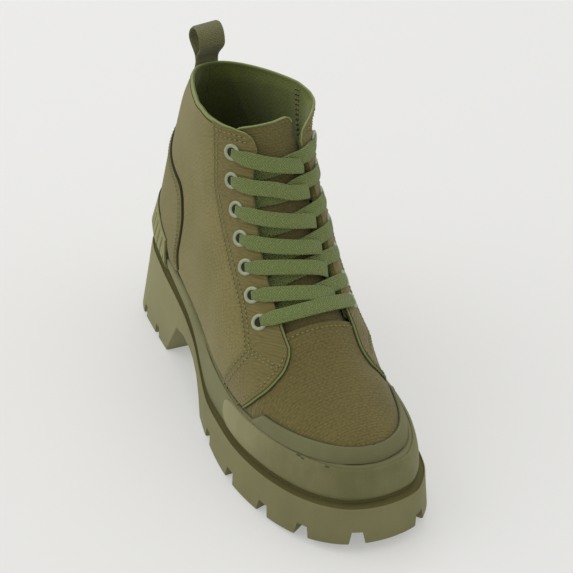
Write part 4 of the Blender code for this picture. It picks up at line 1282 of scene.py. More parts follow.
@dataclass
class ToeCap:
    """Rubber cap over the toe with a rounded upper edge."""

    sole: SoleForm
    last: LastForm
    proud: float = 1.9
    gap: float = 0.5
    end_row: float = 4.2
    slant: float = 0.22         # its lower edge ends this much further back
    slant_row: float = 3.2      # the slant begins here
    top_lean: float = 0.4       # share of the slant by which the upper edge ends further forward
    lap: float = 1.4            # the halves lap by this much over the ridge at the tip
    lap_thin: float = 0.12      # and lie this much lower there
    tip_s: float = 266.0
    tip_rise: float = 0.5       # height under the upper edge over which the lap grows
    edge: tuple = ((222.0, 52.0), (266.0, 52.8))    # s and z of the upper edge
    edge_round: float = 1.4
    edge_share: float = 0.35    # of its thickness that is left at the very edge
    end_share: float = 0.1      # where the rounding of the two ends begins
    low_lap: float = 0.9        # its lower edge goes this far under the gap at the rim
    back: float = 0.15          # its inner face lies this far off the canvas
    line_lift: float = 0.45     # of the dark line of painted shadow along the upper edge
    line_wide: float = 0.5
    rows: int = 60
    columns: int = 22
    row_run: float = 12.0       # length of a section number along the toe
    station_run: float = 1.3
    smooth: int = 6
    sharp: float = 60.0

    def edge_over(self, row: float, side: Side, level: Callable[[Array], Array]) -> float:
        """Give the distance over the form at which a section goes below a height.

        Args:
            row: section number.
            side: side of the foot.
            level: function of s that gives the height.

        Returns:
            The distance.
        """
        line, run = self.last.section(row, side)
        depth = line[:, 2] - level(line[:, 1])
        under = np.nonzero(depth < 0)[0]
        if len(under) == 0:
            return float(run[-1])
        i = max(int(under[0]), 1)
        part = depth[i - 1] / (depth[i - 1] - depth[i]) if under[0] else 0.0
        return float(run[i - 1] + part * (run[i] - run[i - 1]))

    def build(self) -> None:
        """Make the cap as one band from the lateral end round the toe to the medial end."""
        stations = [(row, Side.LATERAL) for row in np.linspace(self.end_row, 0, self.rows)]
        stations += [(row, Side.MEDIAL) for row in np.linspace(0, self.end_row, self.rows)[1:]]
        t = np.linspace(0, 1, self.columns)
        bare, over, edges, past = [], [], [], []
        for row, side in stations:
            slant = self.slant * float(ease(np.array(row - self.slant_row)))
            low = self.edge_over(row + slant, side, self.low_at)
            top = self.edge_over(row - self.top_lean * slant, side, self.top_at)
            past.append(max(float(self.top_at(self.tip_s) - self.last.section_at(row)[1]), 0.0))
            top -= self.lap * min(past[-1] / self.tip_rise, 1.0)
            over.append(side.value * (low + (top - low) * t))
            bare.append(self.last.bare(row + slant * (1 - (1 + self.top_lean) * t), over[-1]))
            edges.append(abs(low - top))
        bare, over, past = np.array(bare), np.array(over), np.array(past)
        normal = unit(np.cross(np.gradient(bare, axis=1), np.gradient(bare, axis=0)))
        for _ in range(self.smooth):
            normal[1:-1] = unit(normal[:-2] + 2 * normal[1:-1] + normal[2:])
        normal *= np.sign(-normal[self.rows - 1, 0, 1])
        bare = bare - normal * self.last.sink(bare)[..., None]
        count = np.arange(len(stations))
        from_end = np.minimum(count, count[::-1])[:, None] * self.station_run
        from_edge = np.array(edges)[:, None] * (1 - t) + past[:, None]
        soft = np.minimum(np.clip(from_edge / self.edge_round, 0, 1),
                          np.clip(from_end / self.edge_round + self.end_share, 0, 1))
        full = self.edge_share + (1 - self.edge_share) * np.sqrt(1 - (1 - soft) ** 2)
        way = np.array([side.value for _, side in stations])[:, None]
        lift = self.gap + self.proud * full - self.lap_thin * ease(-over * way / self.lap)
        rows = np.array([row for row, _ in stations])[:, None]
        piece = Piece("toe_cap_rubber", CAP_RUBBER)
        piece.add_shell(bare + normal * lift[..., None], bare + normal * self.back,
                        np.stack(np.broadcast_arrays(rows * self.row_run, over), -1))
        piece.place("toe_cap", sharp=self.sharp)
        # painted shadow: a dark line along the cap's upper edge
        line = Piece("cap_edge_shadow", EDGE_SHADE_AND_SCUFF)
        out = normal[past <= 0, -1]
        line.add_rings(sweep(bare[past <= 0, -1] + out * self.line_lift, out, round_profile(self.line_wide)))
        line.place()

    def low_at(self, s: Array) -> Array:
        """Give the height of the cap's lower edge."""
        return self.sole.rim(s) + self.gap - self.low_lap

    def top_at(self, s: Array) -> Array:
        """Give the height of the cap's upper edge."""
        return on_lines(self.edge, s)


@dataclass
class HeelTab:
    """Ribbed rubber plate round the back of the heel."""

    sole: SoleForm
    last: LastForm
    end_s: float = 66.0
    low_z: float = 50.6
    thick: float = 1.3          # over the midsole's wall
    thin: float = 2.9           # over the canvas, at the upper edge
    gap: float = 0.5
    upper_gap: float = 0.5
    tops: tuple = ((0, 82), (28, 81), (66, 71.5))   # s and z of the upper edge
    swell: float = 0.9
    wall_out: tuple = (0.4, 0.2)    # its foot and its step stand out from the wall's insets
    stations: int = 221
    probes: int = 37            # stations at which the upper behind it is measured
    face_steps: int = 46
    rib_pitch: float = 8.0
    rib_lean: float = 0.55      # run along the heel for each millimetre up
    rib_groove: float = 1.6
    groove_half: float = 0.4    # half-width of a groove's floor
    groove_wide: float = 0.4    # and width of its sides
    groove_end: float = 0.7     # length over which a groove runs out at the frame
    frame_wide: float = 3.4     # at the ends
    frame_slim: float = 1.0     # it is narrower by this above and below
    edge_drop: float = 0.8
    edge_round: float = 1.2
    gap_line: float = 0.5       # radius of the dark line of painted shadow along its upper edge
    gap_hole: float = 1.7       # and of the open corner of painted shadow over the midsole's rim
    gap_hole_at: float = 2.5    # distance of that corner from the line's end, and its length
    gap_hole_run: float = 3.0
    gap_up: float = 0.5
    gap_fore: float = 1.2       # the line's ends lie this much nearer to the toe
    gap_fore_run: float = 10.0
    heel_middle: float = 40.0   # s of the point that the line is turned away from
    counter: float = 1.9        # the counter's face lies this far outside the plate's back
    far: float = 40.0           # points of the upper deeper than this belong to its other side
    sharp: float = 40.0

    def contour(self, z: float) -> Array:
        """Give plan points (x, s) of the upper round the heel at a height.

        Args:
            z: the height.

        Returns:
            Plan points.
        """
        found = []
        for side in SIDES:
            lines = self.last.table[side.value][150:311]
            above, below = lines[:, :-1], lines[:, 1:]
            hit = (above[..., 2] >= z) & (below[..., 2] < z)
            part = ((above[..., 2] - z) / np.maximum(above[..., 2] - below[..., 2], 1e-9))[..., None]
            found.append((above + part * (below - above))[hit][:, :2])
        rows = np.linspace(self.last.back_row, self.last.top_row, 200)
        seam = self.last.section_at(rows)
        found.append(np.array([[0.0, np.interp(z, seam[:, 3], seam[:, 2])]]))
        return np.concatenate(found)

    def depth(self, plan: Array, normal: Array, z: float) -> float:
        """Give the distance inward from the tread's outline to the upper at a height.

        Args:
            plan: plan point of the outline.
            normal: its outward normal.
            z: the height.

        Returns:
            The distance.
        """
        away = self.contour(z) - plan
        run, depth = away @ np.array([-normal[1], normal[0]]), -(away @ normal)
        near = depth < self.far
        order = np.argsort(run[near])
        return float(np.interp(0.0, run[near][order], depth[near][order]))

    def stand(self, swing: float) -> tuple[Array, ...]:
        """Give the tread's plan point and normal at an angle from the heel's back, lateral ones negative."""
        side = Side.LATERAL if swing < 0 else Side.MEDIAL
        return tuple(p[0] for p in self.sole.outline([abs(swing)], side))

    def heights(self, s: float) -> tuple[float, float, float]:
        """Give the heights of the step over the midsole's rim, half-way up and of the upper edge."""
        step, top = float(self.sole.rim(s)) + self.gap, float(on_curve(self.tops, s))
        return step, 0.5 * (step + top), top

    def ring(self, stand: Sequence[Array], lean: Sequence[float], at: float, whole: float) -> Array:
        """Give one ring of the plate: up its back and down its face, with a frame and slanted ribs.

        Args:
            stand: plan point and normal of the tread outside it.
            lean: insets of its back at the step, half-way up and at the upper edge.
            at: distance along the plate.
            whole: length of the plate.

        Returns:
            The ring's points.
        """
        plan, normal = stand
        step, middle, top = self.heights(plan[1])
        foot_in, rim_in = float(self.sole.inset_low(plan[1])), float(self.sole.inset_top(plan[1]))
        walls = np.array([foot_in - self.wall_out[0], 0.5 * (foot_in + rim_in) - self.swell,
                          rim_in - self.wall_out[1]]) - self.gap
        levels = (self.low_z, 0.5 * (self.low_z + step), step)
        up = np.linspace(0, 1, self.face_steps) * (top - self.low_z)
        face = np.interp(self.low_z + up, (*levels, top), (*(walls - self.thick), lean[2] - self.thin))
        edge = np.minimum(up, top - self.low_z - up)
        inside = np.minimum(edge + self.frame_slim, min(at, whole - at)) - self.frame_wide
        phase = (at + self.rib_lean * up) / self.rib_pitch
        away = np.abs(phase - np.round(phase)) * self.rib_pitch
        groove = 1 - ease((away - self.groove_half) / self.groove_wide)
        face = face + self.rib_groove * groove * ease(inside / self.groove_end)
        face = face + self.edge_drop * (1 - ease(edge / self.edge_round))
        profile = [*zip(walls, levels), *zip(lean, (step, middle, top)),
                   *zip(face[::-1], self.low_z + up[::-1])]
        return np.array([self.sole.place(*(plan - normal * inset), z) for inset, z in profile])

    def build(self) -> None:
        """Loft the plate round the heel."""
        reach = float(self.sole.turn(self.end_s))
        coarse = np.linspace(-reach, reach, self.probes)
        stands = [self.stand(swing) for swing in coarse]
        leans = np.array([[self.depth(*stand, z) - self.upper_gap for z in self.heights(stand[0][1])]
                          for stand in stands])
        swings = np.linspace(-reach, reach, self.stations)
        stands = [self.stand(swing) for swing in swings]
        run = run_length(np.array([plan for plan, _ in stands]))
        rings = [self.ring(stand, [np.interp(swing, coarse, column) for column in leans.T], at, run[-1])
                 for swing, stand, at in zip(swings, stands, run)]
        piece = Piece("heel_tab_rubber", TAB_RUBBER)
        piece.add_rings(rings)
        piece.place("heel_tab", sharp=self.sharp)
        self.build_gap(rings)

    def build_gap(self, rings: Sequence[Array]) -> None:
        """Make the dark line of painted shadow between the plate's edge and the counter, widest at the rim.

        Args:
            rings: rings of the plate.
        """
        path = np.concatenate([rings[0][3:5], [r[5] for r in rings], rings[-1][4:2:-1]])
        path = resample(path, 200)
        middle = np.array([-self.sole.x_middle, self.sole.length / 2 - self.heel_middle, 0.0])
        out = unit((path - middle) * [1, 1, 0])
        run = run_length(path)
        end = np.minimum(run, run[-1] - run)
        hole = np.exp(-((end - self.gap_hole_at) / self.gap_hole_run) ** 2)
        wide = self.gap_line + (self.gap_hole - self.gap_line) * hole
        path = path + out * self.counter + [0, 0, self.gap_up]
        path[:, 1] -= self.gap_fore * (1 - ease(end / self.gap_fore_run))
        # painted shadow in the gap between the plate and the counter
        dark = Piece("heel_tab_gap_shadow", EDGE_DARK)
        dark.add_rings(sweep(path, out, round_profile(1.0), scale=wide))
        dark.place()


@dataclass
class CanvasUpper:
    """Canvas panels of the upper with its lining, binding and piping."""

    last: LastForm
    wall: float = 2.4
    proud: float = 0.9          # quarters over the vamp
    facing_proud: float = 0.55  # eyestay facing over the quarters
    counter_proud: float = 1.3
    # share of the way from throat to feather, and the section number of the quarter's front edge
    front: tuple = ((0, 4.95), (0.035, 4.79), (0.13, 4.6), (0.224, 4.51), (0.39, 4.44), (0.53, 4.45),
                    (0.765, 4.6), (1, 4.9))
    medial_front: float = -0.2          # the medial one lies this much nearer to the toe
    # section number and distance over the form of the eyestay's rear edge
    rear: tuple = ((5.5, 44.5), (5.75, 42.5), (6.05, 41), (6.45, 40), (7.05, 41), (7.55, 42), (8.6, 44),
                   (11.2, 45), (13.35, 41), (15.05, 37), (16, 34.5))
    # the same of the heel counter's front edge, from the feather to the back seam
    counter: tuple = ((7.9, 117), (8.1, 113), (8.3, 109), (8.6, 101), (9.05, 94), (9.6, 91.5), (10.45, 91),
                      (11.4, 91.5), (12.4, 95), (13.1, 104), (13.85, 119), (14.5, 134), (15.05, 146.4))
    # outwards and across: the light tape on the collar's edge, and the lining rolled up behind it
    binding: tuple = ((0.95, 1.0), (1.1, 0.5), (0.9, -0.05), (0.4, -0.3), (-0.2, -0.25), (-0.4, 0.1),
                      (-0.3, 1.0))
    roll: tuple = ((-0.3, 0.8), (-0.4, -0.1), (-0.8, -0.2), (-1.1, 0.1), (-1.2, 0.7), (-1.15, 1.8),
                   (-0.8, 1.8), (-0.6, 0.8))
    collar_shade_drop: float = 1.7              # the dark line of painted shade lies this far under the collar's edge
    # section number, distance over the form, width and depth of the lining's folds
    lining_folds: tuple = ((15.6, -121, 3.0, 1.3), (15.4, -128, 2.2, -0.8), (15.2, 118, 3.0, 1.2),
                           (15.0, 96, 5.0, 0.8), (14.6, 70, 6.0, -0.7), (15.3, -100, 4.0, 0.8))
    fold_rows: float = 1.6              # section numbers over which a fold fades
    piping: float = 0.5
    corner_row: float = 15.0            # the throat's width here is where the collar's edge starts
    collar_reach: float = 112.0         # and it runs this far back over the form
    facing_reach: float = 20.5          # the facing's top is this wide
    branch_row: float = 5.5             # where the facing's two parts meet
    branch_back: float = 0.12           # their seam lies this much further back at its foot
    branch_shares: tuple = (0.48, 0.5)  # share of the way down where that begins, and its length
    lining_row: float = 5.45
    under_vamp: float = 0.1             # the quarter's back over the vamp
    inner: float = 1.2                  # and its depth further up
    thin_rows: float = 0.4              # panels get thinner this near to the collar, in section numbers
    # shares that are left at the collar of the quarter's depth, the lining's depth and its outer face's
    thin_shares: tuple = (0.25, 0.42, 0.3)
    least: float = 0.2                  # least thickness of a quarter
    lining_out: float = 1.25            # depth of the lining's outer face
    lining_least: float = 0.8           # its inner face lies at least this deep, and twice that further down
    weave_shift: float = 35.0
    facing_thick: float = 0.62
    counter_thick: float = 1.0
    counter_rows: tuple = (7.95, 11.6, 11.65, 12.3, 12.35, 15.0)    # closer sections round the heel's back
    counter_least: float = 0.6          # least height of the counter
    counter_line: float = 14.9          # the dark line of painted shadow along the counter ends here
    line_ahead: float = 0.9             # it lies this far before the counter's edge
    line_up: float = 0.15
    line_wide: tuple = (0.35, 0.8)      # its radius at the ends, and how much more in the middle
    tuck_run: float = 4.0               # length over which a panel goes under the rim
    tuck_deep: float = 0.1
    # drop of the very edge of vamp, quarters, facings and counter
    soft_vamp: float = 0.5
    soft_quarter: float = 0.45
    soft_facing: float = 0.3
    soft_counter: float = 0.35
    # section numbers where the collar's tape and the quarters' piping begin
    tape_row: float = 12.9
    piping_row: float = 5.75
    collar_run: float = 7.0             # length of a section number at the collar
    front_run: float = 20.0             # and at the quarters' front edge
    collar_shade_line: float = 0.26           # radius of the dark line of painted shade under the collar
    # outwards, inwards and radius of the dark lines on both sides of the piping: a seam on the quarter's
    # side, painted shade on the vamp's side
    piping_seam_and_shade: tuple = ((0.4, 0.95, 0.24), (-0.75, -0.6, 0.36))

    def side_over(self, row: Array, share: Array, side: Side) -> Array:
        """Give the distance over the form at a share of the way from the throat to the panel's foot."""
        throat = self.last.throat_half(row)
        return side.value * (throat + (self.last.foot(row, side) - throat) * share)

    def front_row(self, share: Array, side: Side) -> Array:
        """Give the section number of the quarter's front edge."""
        return on_curve(self.front, share) + (self.medial_front if side is Side.MEDIAL else 0.0)

    def branch_at(self, share: Array) -> Array:
        """Give the section number of the seam between the facing's two parts."""
        begin, length = self.branch_shares
        return self.branch_row + self.branch_back * ease((share - begin) / length)

    def rear_over(self, row: Array) -> Array:
        """Give the distance over the form of the eyestay's rear edge."""
        return on_curve(self.rear, row)

    def counter_over(self, row: Array) -> Array:
        """Give the distance over the form of the heel counter's front edge."""
        return on_curve(self.counter, row)

    def collar_at(self, share: Array, reach: float) -> Array:
        """Give the collar's section number at a share of a reach back from the throat."""
        return self.last.collar_row(self.last.throat_half(self.corner_row) + share * reach)

    def tucked(self, row: Array, over: Array, lift: float, side: Side) -> Array:
        """Lower a panel's lift where it goes under the rubber rim.

        Args:
            row: section numbers.
            over: distances over the form.
            lift: lift of the panel.
            side: side of the foot.

        Returns:
            Lift at each place.
        """
        rim = self.last.rim_over(row, side)
        near = np.where(row < self.last.back_row, ease((rim - np.abs(over)) / self.tuck_run), 1.0)
        return lift * near - self.tuck_deep * (1 - near)

    def thinned(self, row: Array, share: float) -> Array:
        """Give the part of a depth that is left: all of it, down to a share at the collar."""
        return share + (1 - share) * ease((row[-1:] - row) / self.thin_rows)

    def softened(self, lift: Array, edges: str, drop: float) -> Array:
        """Lower the outermost points of a grid's lift so that its edges are round.

        Args:
            lift: grid of lifts.
            edges: letters of the edges: f first row, l last row, a first column, z last column.
            drop: how far the very edge sinks.

        Returns:
            The changed grid.
        """
        soft = np.array(lift, float)
        for letter, cut in (("f", np.s_[0, :]), ("l", np.s_[-1, :]), ("a", np.s_[:, 0]), ("z", np.s_[:, -1])):
            if letter in edges:
                soft[cut] = np.minimum(soft[cut], np.array(lift)[cut] - drop)
        return soft

    def panel(self, piece: Piece, row: Array, over: Array, lifts: tuple[Array, Array],
              flat: bool = False) -> None:
        """Add a panel between two lifts off the last.

        Args:
            piece: piece that gets it.
            row: grid of section numbers.
            over: grid of distances over the form.
            lifts: lifts of its outer and inner face.
            flat: whether the cloth's threads run as seen from above, and not as seen from the side.
        """
        outer = self.last.lifted(row, over, lifts[0])
        inner = self.last.lifted(row, over, lifts[1])
        side = np.stack([outer[..., 1] + self.weave_shift - np.abs(outer[..., 0]), outer[..., 2]], -1)
        piece.add_shell(outer, inner, outer[..., :2] if flat else side)

    def quarter_grid(self, side: Side, first: Optional[float] = None) -> tuple[Array, Array]:
        """Give rows and distances of a grid over a whole quarter.

        Args:
            side: side of the foot.
            first: section number to start from, in place of the quarter's front edge.

        Returns:
            Grids of section numbers and of distances over the form.
        """
        share = np.concatenate([[0, 0.004], 0.012 + 0.988 * np.linspace(0, 1, 84) ** 1.35])
        start = self.front_row(share, side) if first is None else np.full_like(share, first)
        top = self.collar_at(share, self.collar_reach)
        row = start + (top - start) * edged([0, 0.004], (0.012, 0.988), 150, [0.995, 1])[:, None]
        return row, self.side_over(row, share[None, :], side)

    def build_vamp(self) -> None:
        """Make the vamp from the toe to its stitched top edge."""
        end = self.last.throat_row
        rows = edged([], (0, end - 0.06), 90, [end - 0.02, end])[:, None]
        share = np.linspace(-1, 1, 141)[None, :]
        foot = np.where(share < 0, self.last.foot(rows, Side.LATERAL), self.last.foot(rows, Side.MEDIAL))
        over = share * foot
        row = np.broadcast_to(rows, over.shape)
        lift = self.softened(np.zeros_like(over), "l", self.soft_vamp)
        piece = Piece("vamp_canvas_panel", VAMP_CANVAS)
        self.panel(piece, row, over, (lift, -self.wall), True)
        piece.place("upper")

    def build_quarters(self) -> None:
        """Make both quarters, their facings and the lining."""
        facing = Piece("eyestay_facing", FACING_CANVAS)
        lining = Piece("upper_lining", LINING)
        for side in SIDES:
            quarter = Piece(f"quarter_{side.name.lower()}", QUARTER_CANVAS)
            row, over = self.quarter_grid(side)
            out = self.softened(self.tucked(row, over, self.proud, side), "fla", self.soft_quarter)
            inn = -self.inner * self.thinned(row, self.thin_shares[0])
            inn = np.where(row < self.branch_row, self.under_vamp, inn)
            self.panel(quarter, row, over, (out, np.minimum(inn, out - self.least)))
            quarter.place()
            row, over = self.quarter_grid(side, self.lining_row)
            thin = self.thinned(row, 0.0)
            inside = -self.wall * self.thinned(row, self.thin_shares[1])
            for fold_row, fold_over, wide, deep in self.lining_folds:
                fade = np.exp(-((row - fold_row) / self.fold_rows) ** 2)
                inside -= thin * deep * fade * np.exp(-((over - fold_over) / wide) ** 2)
            inside = np.minimum(inside, -self.lining_least * (1 + thin))
            self.panel(lining, row, over,
                       (-self.lining_out * self.thinned(row, self.thin_shares[2]), inside))
            for row, over, edges in self.facing_grids(side):
                lift = self.tucked(row, over, self.proud + self.facing_proud, side)
                outer = self.softened(lift, edges, self.soft_facing)
                self.panel(facing, row, over, (outer, lift - self.facing_thick))
        facing.place()
        lining.place()

    def facing_grids(self, side: Side) -> list[tuple[Array, Array, str]]:
        """Give the two grids of a facing: along the throat, and across the front of the quarter.

        Args:
            side: side of the foot.

        Returns:
            Section numbers, distances over the form and letters of the rounded edges, for each grid.
        """
        c = edged([0, 0.015], (0.04, 0.96), 26, [0.985, 1])[None, :]
        top = self.collar_at(c, self.facing_reach)
        row = self.branch_row + (top - self.branch_row) * edged([0, 0.004], (0.012, 0.99), 110, [1])[:, None]
        throat, rear = self.last.throat_half(row), self.rear_over(row)
        along = (row, side.value * (throat + (rear - throat) * c), "laz")
        share = edged([0, 0.01], (0.03, 1), 60)[None, :]
        start, end = self.front_row(share, side), self.branch_at(share)
        row = start + (end - start) * edged([0, 0.02], (0.06, 0.94), 24, [0.98, 1])[:, None]
        return [along, (row, self.side_over(row, share, side), "fa")]

    def build_counter(self) -> None:
        """Make the canvas heel counter with the dark line of painted shadow at its front edge."""
        counter = Piece("heel_counter", COUNTER_CANVAS)
        # painted shadow that the counter's raised front edge casts on the quarter
        dark = Piece("counter_edge_shadow", EDGE_DARK)
        ends = self.counter_rows
        rows = np.concatenate([np.linspace(*ends[:2], 70), np.linspace(*ends[2:4], 26),
                               np.linspace(*ends[4:], 60)])
        share = edged([0, 0.01, 0.03], (0.06, 1), 56)[None, :]
        for side in SIDES:
            row = np.broadcast_to(rows[:, None], (len(rows), share.shape[1]))
            foot = self.last.foot(row, side)
            edge = np.minimum(self.counter_over(row), foot - self.counter_least)
            over = side.value * (edge + (foot - edge) * share)
            lift = self.tucked(row, over, self.proud + self.counter_proud, side)
            outer = self.softened(lift, "fla", self.soft_counter)
            self.panel(counter, row, over, (outer, lift - self.counter_thick))
            row = np.linspace(rows[0], self.counter_line, 140)
            over = side.value * (self.counter_over(row) - self.line_ahead)
            path = self.last.lifted(row, over, self.proud + self.line_up)
            end, more = self.line_wide
            thick = end + more * np.sin(math.pi * np.linspace(0.05, 0.95, 140)) ** 0.8
            dark.add_rings(sweep(path, self.last.normal(row, over), round_profile(1.0), scale=thick))
        counter.place()
        dark.place()

    def spread(self, row: Array, over: Array, per_row: float, count: int) -> tuple[Array, Array]:
        """Spread places evenly along their line.

        Args:
            row: section numbers.
            over: distances over the form.
            per_row: length of a section number in millimetres.
            count: number of places.

        Returns:
            New section numbers and distances.
        """
        line = resample(np.stack([row * per_row, over], -1), count)
        return line[:, 0] / per_row, line[:, 1]

    def build_edges(self) -> None:
        """Make the collar's binding and the piping of the quarters' front edges, with their dark seam and
        painted shade lines.
        """
        binding = Piece("collar_binding", BINDING_TAPE)
        piping = Piece("quarter_piping", PIPING_TAPE)
        seam = Piece("edge_seams_and_shade", EDGE_SEAM_AND_SHADE)
        rolled = Piece("rolled_lining", LINING)
        for side in SIDES:
            share = np.concatenate([np.linspace(0.0, 0.1, 60), np.linspace(0.11, 1, 90)])
            row = self.collar_at(share, self.collar_reach)
            row = np.concatenate([np.linspace(self.tape_row, row[0], 12)[:-1], row])
            share = np.concatenate([np.zeros(11), share])
            row, over = self.spread(row, self.side_over(row, share, side), self.collar_run, 150)
            path, facing = self.last.lifted(row, over, 0.0), self.last.normal(row, over)
            for strip, profile in ((binding, self.binding), (rolled, self.roll)):
                strip.add_rings(sweep(path, facing, np.array(profile) * [1, -side.value]))
            inward = unit(np.cross(np.gradient(path, axis=0), facing))
            inward *= -np.sign(np.mean(inward[-40:, 2]))
            # painted shade: a dark line under the collar's tape
            seam.add_rings(sweep(path + inward * self.collar_shade_drop + facing * (self.proud + 0.1), facing,
                                 round_profile(self.collar_shade_line)))
            down = np.linspace(self.piping_row, float(self.front_row(0.0, side)) + 0.02, 24)
            share = np.linspace(0, 0.97, 90)
            front = self.front_row(share, side)
            over = np.concatenate([side.value * self.last.throat_half(down),
                                   self.side_over(front, share, side)])
            row, over = self.spread(np.concatenate([down, front]), over, self.front_run, 120)
            lift = self.tucked(row, over, self.proud + 0.1, side)
            path, facing = self.last.lifted(row, over, lift), self.last.normal(row, over)
            inward = unit(np.cross(np.gradient(path, axis=0), facing))
            inward *= np.sign(np.mean(inward[-60:, 1]))
            piping.add_rings(sweep(path, facing, round_profile(self.piping)))
            # a dark seam beside the piping on the quarter, and painted shade beside it on the vamp
            for out, inn, radius in self.piping_seam_and_shade:
                seam.add_rings(sweep(path + inward * inn + facing * out, facing, round_profile(radius)))
        for piece in (binding, piping, seam, rolled):
            piece.place()


@dataclass
class TongueFlap:
    """Canvas tongue under the eyestays with a bound top edge."""

    last: LastForm
    wall: float = 2.4
    clear: float = 2.6          # it lies this far under the upper's inner face
    tuck_gap: float = 0.6       # and only this far where it is sewn in
    thick: float = 2.4
    under: float = 17.0         # it reaches this far under each eyestay
    rows: tuple = (4.7, 15.2)   # section numbers of its lower and upper edge
    tuck_rows: float = 0.8
    tilt: float = 0.3           # its top rises to the inner side
    bow: float = 1.2            # it arches out between the eyestays
    swell: float = 2.2          # and swells out more under the lowest lace bar
    swell_row: float = 5.6
    swell_rows: float = 0.4     # section numbers and share of the width over which that fades
    swell_wide: float = 0.62
    free_row: float = 12.2      # from here up its inner edge comes out beside the eyestay
    free_rows: float = 1.6
    free_in: float = 1.2
    round_top: float = 0.5      # the top's corners lie this much lower
    # outwards and across: the tape over the top edge
    tape: tuple = ((1.3, 0.4), (1.35, -0.1), (0.9, -0.5), (0, -0.6), (-0.9, -0.5), (-1.35, -0.1),
                   (-1.3, 0.4))

    def grid(self, row: Array, way: Array) -> tuple[Array, Array, Array]:
        """Give outer points, inner points and distances over the form.

        Args:
            row: section numbers.
            way: shares of the way from the middle to an edge, negative on the lateral side.

        Returns:
            Three grids.
        """
        free = np.clip((row - self.rows[0]) / self.tuck_rows, 0, 1)
        sink = self.wall + self.tuck_gap + free * (self.clear - self.tuck_gap)
        throat = self.last.throat_half(row)
        free_edge = np.where(way > 0, ease((row - self.free_row) / self.free_rows), 0.0)
        over = way * (throat + self.under * (1 - free_edge) - self.free_in * free_edge)
        arch = self.bow * free * (1 - way ** 2)
        bar = np.exp(-((row - self.swell_row) / self.swell_rows) ** 2)
        arch = arch + self.swell * bar * np.clip(1 - (way / self.swell_wide) ** 2, 0, 1)
        return (self.last.lifted(row, over, arch - sink),
                self.last.lifted(row, over, arch - sink - self.thick), over)

    def build(self) -> None:
        """Make the flap and the tape over its top edge."""
        way = np.linspace(-1, 1, 71)[None, :]
        top = self.rows[1] - self.round_top * np.abs(way) ** 6 + self.tilt * way
        t = np.linspace(0, 1, 150)[:, None]
        row = self.rows[0] + (top - self.rows[0]) * t
        outer, inner, over = self.grid(row, np.broadcast_to(way, row.shape))
        piece = Piece("tongue_canvas_flap", TONGUE_CANVAS)
        along = run_length(outer[:, way.shape[1] // 2])
        piece.add_shell(outer, inner, np.stack([over, np.broadcast_to(along[:, None], over.shape)], -1))
        piece.place("tongue")
        tape = Piece("tongue_binding", BINDING_TAPE)
        path, facing = 0.5 * (outer[-1] + inner[-1]), unit(outer[-1] - inner[-1])
        tape.add_rings(sweep(path, facing, np.array(self.tape)))
        tape.place()


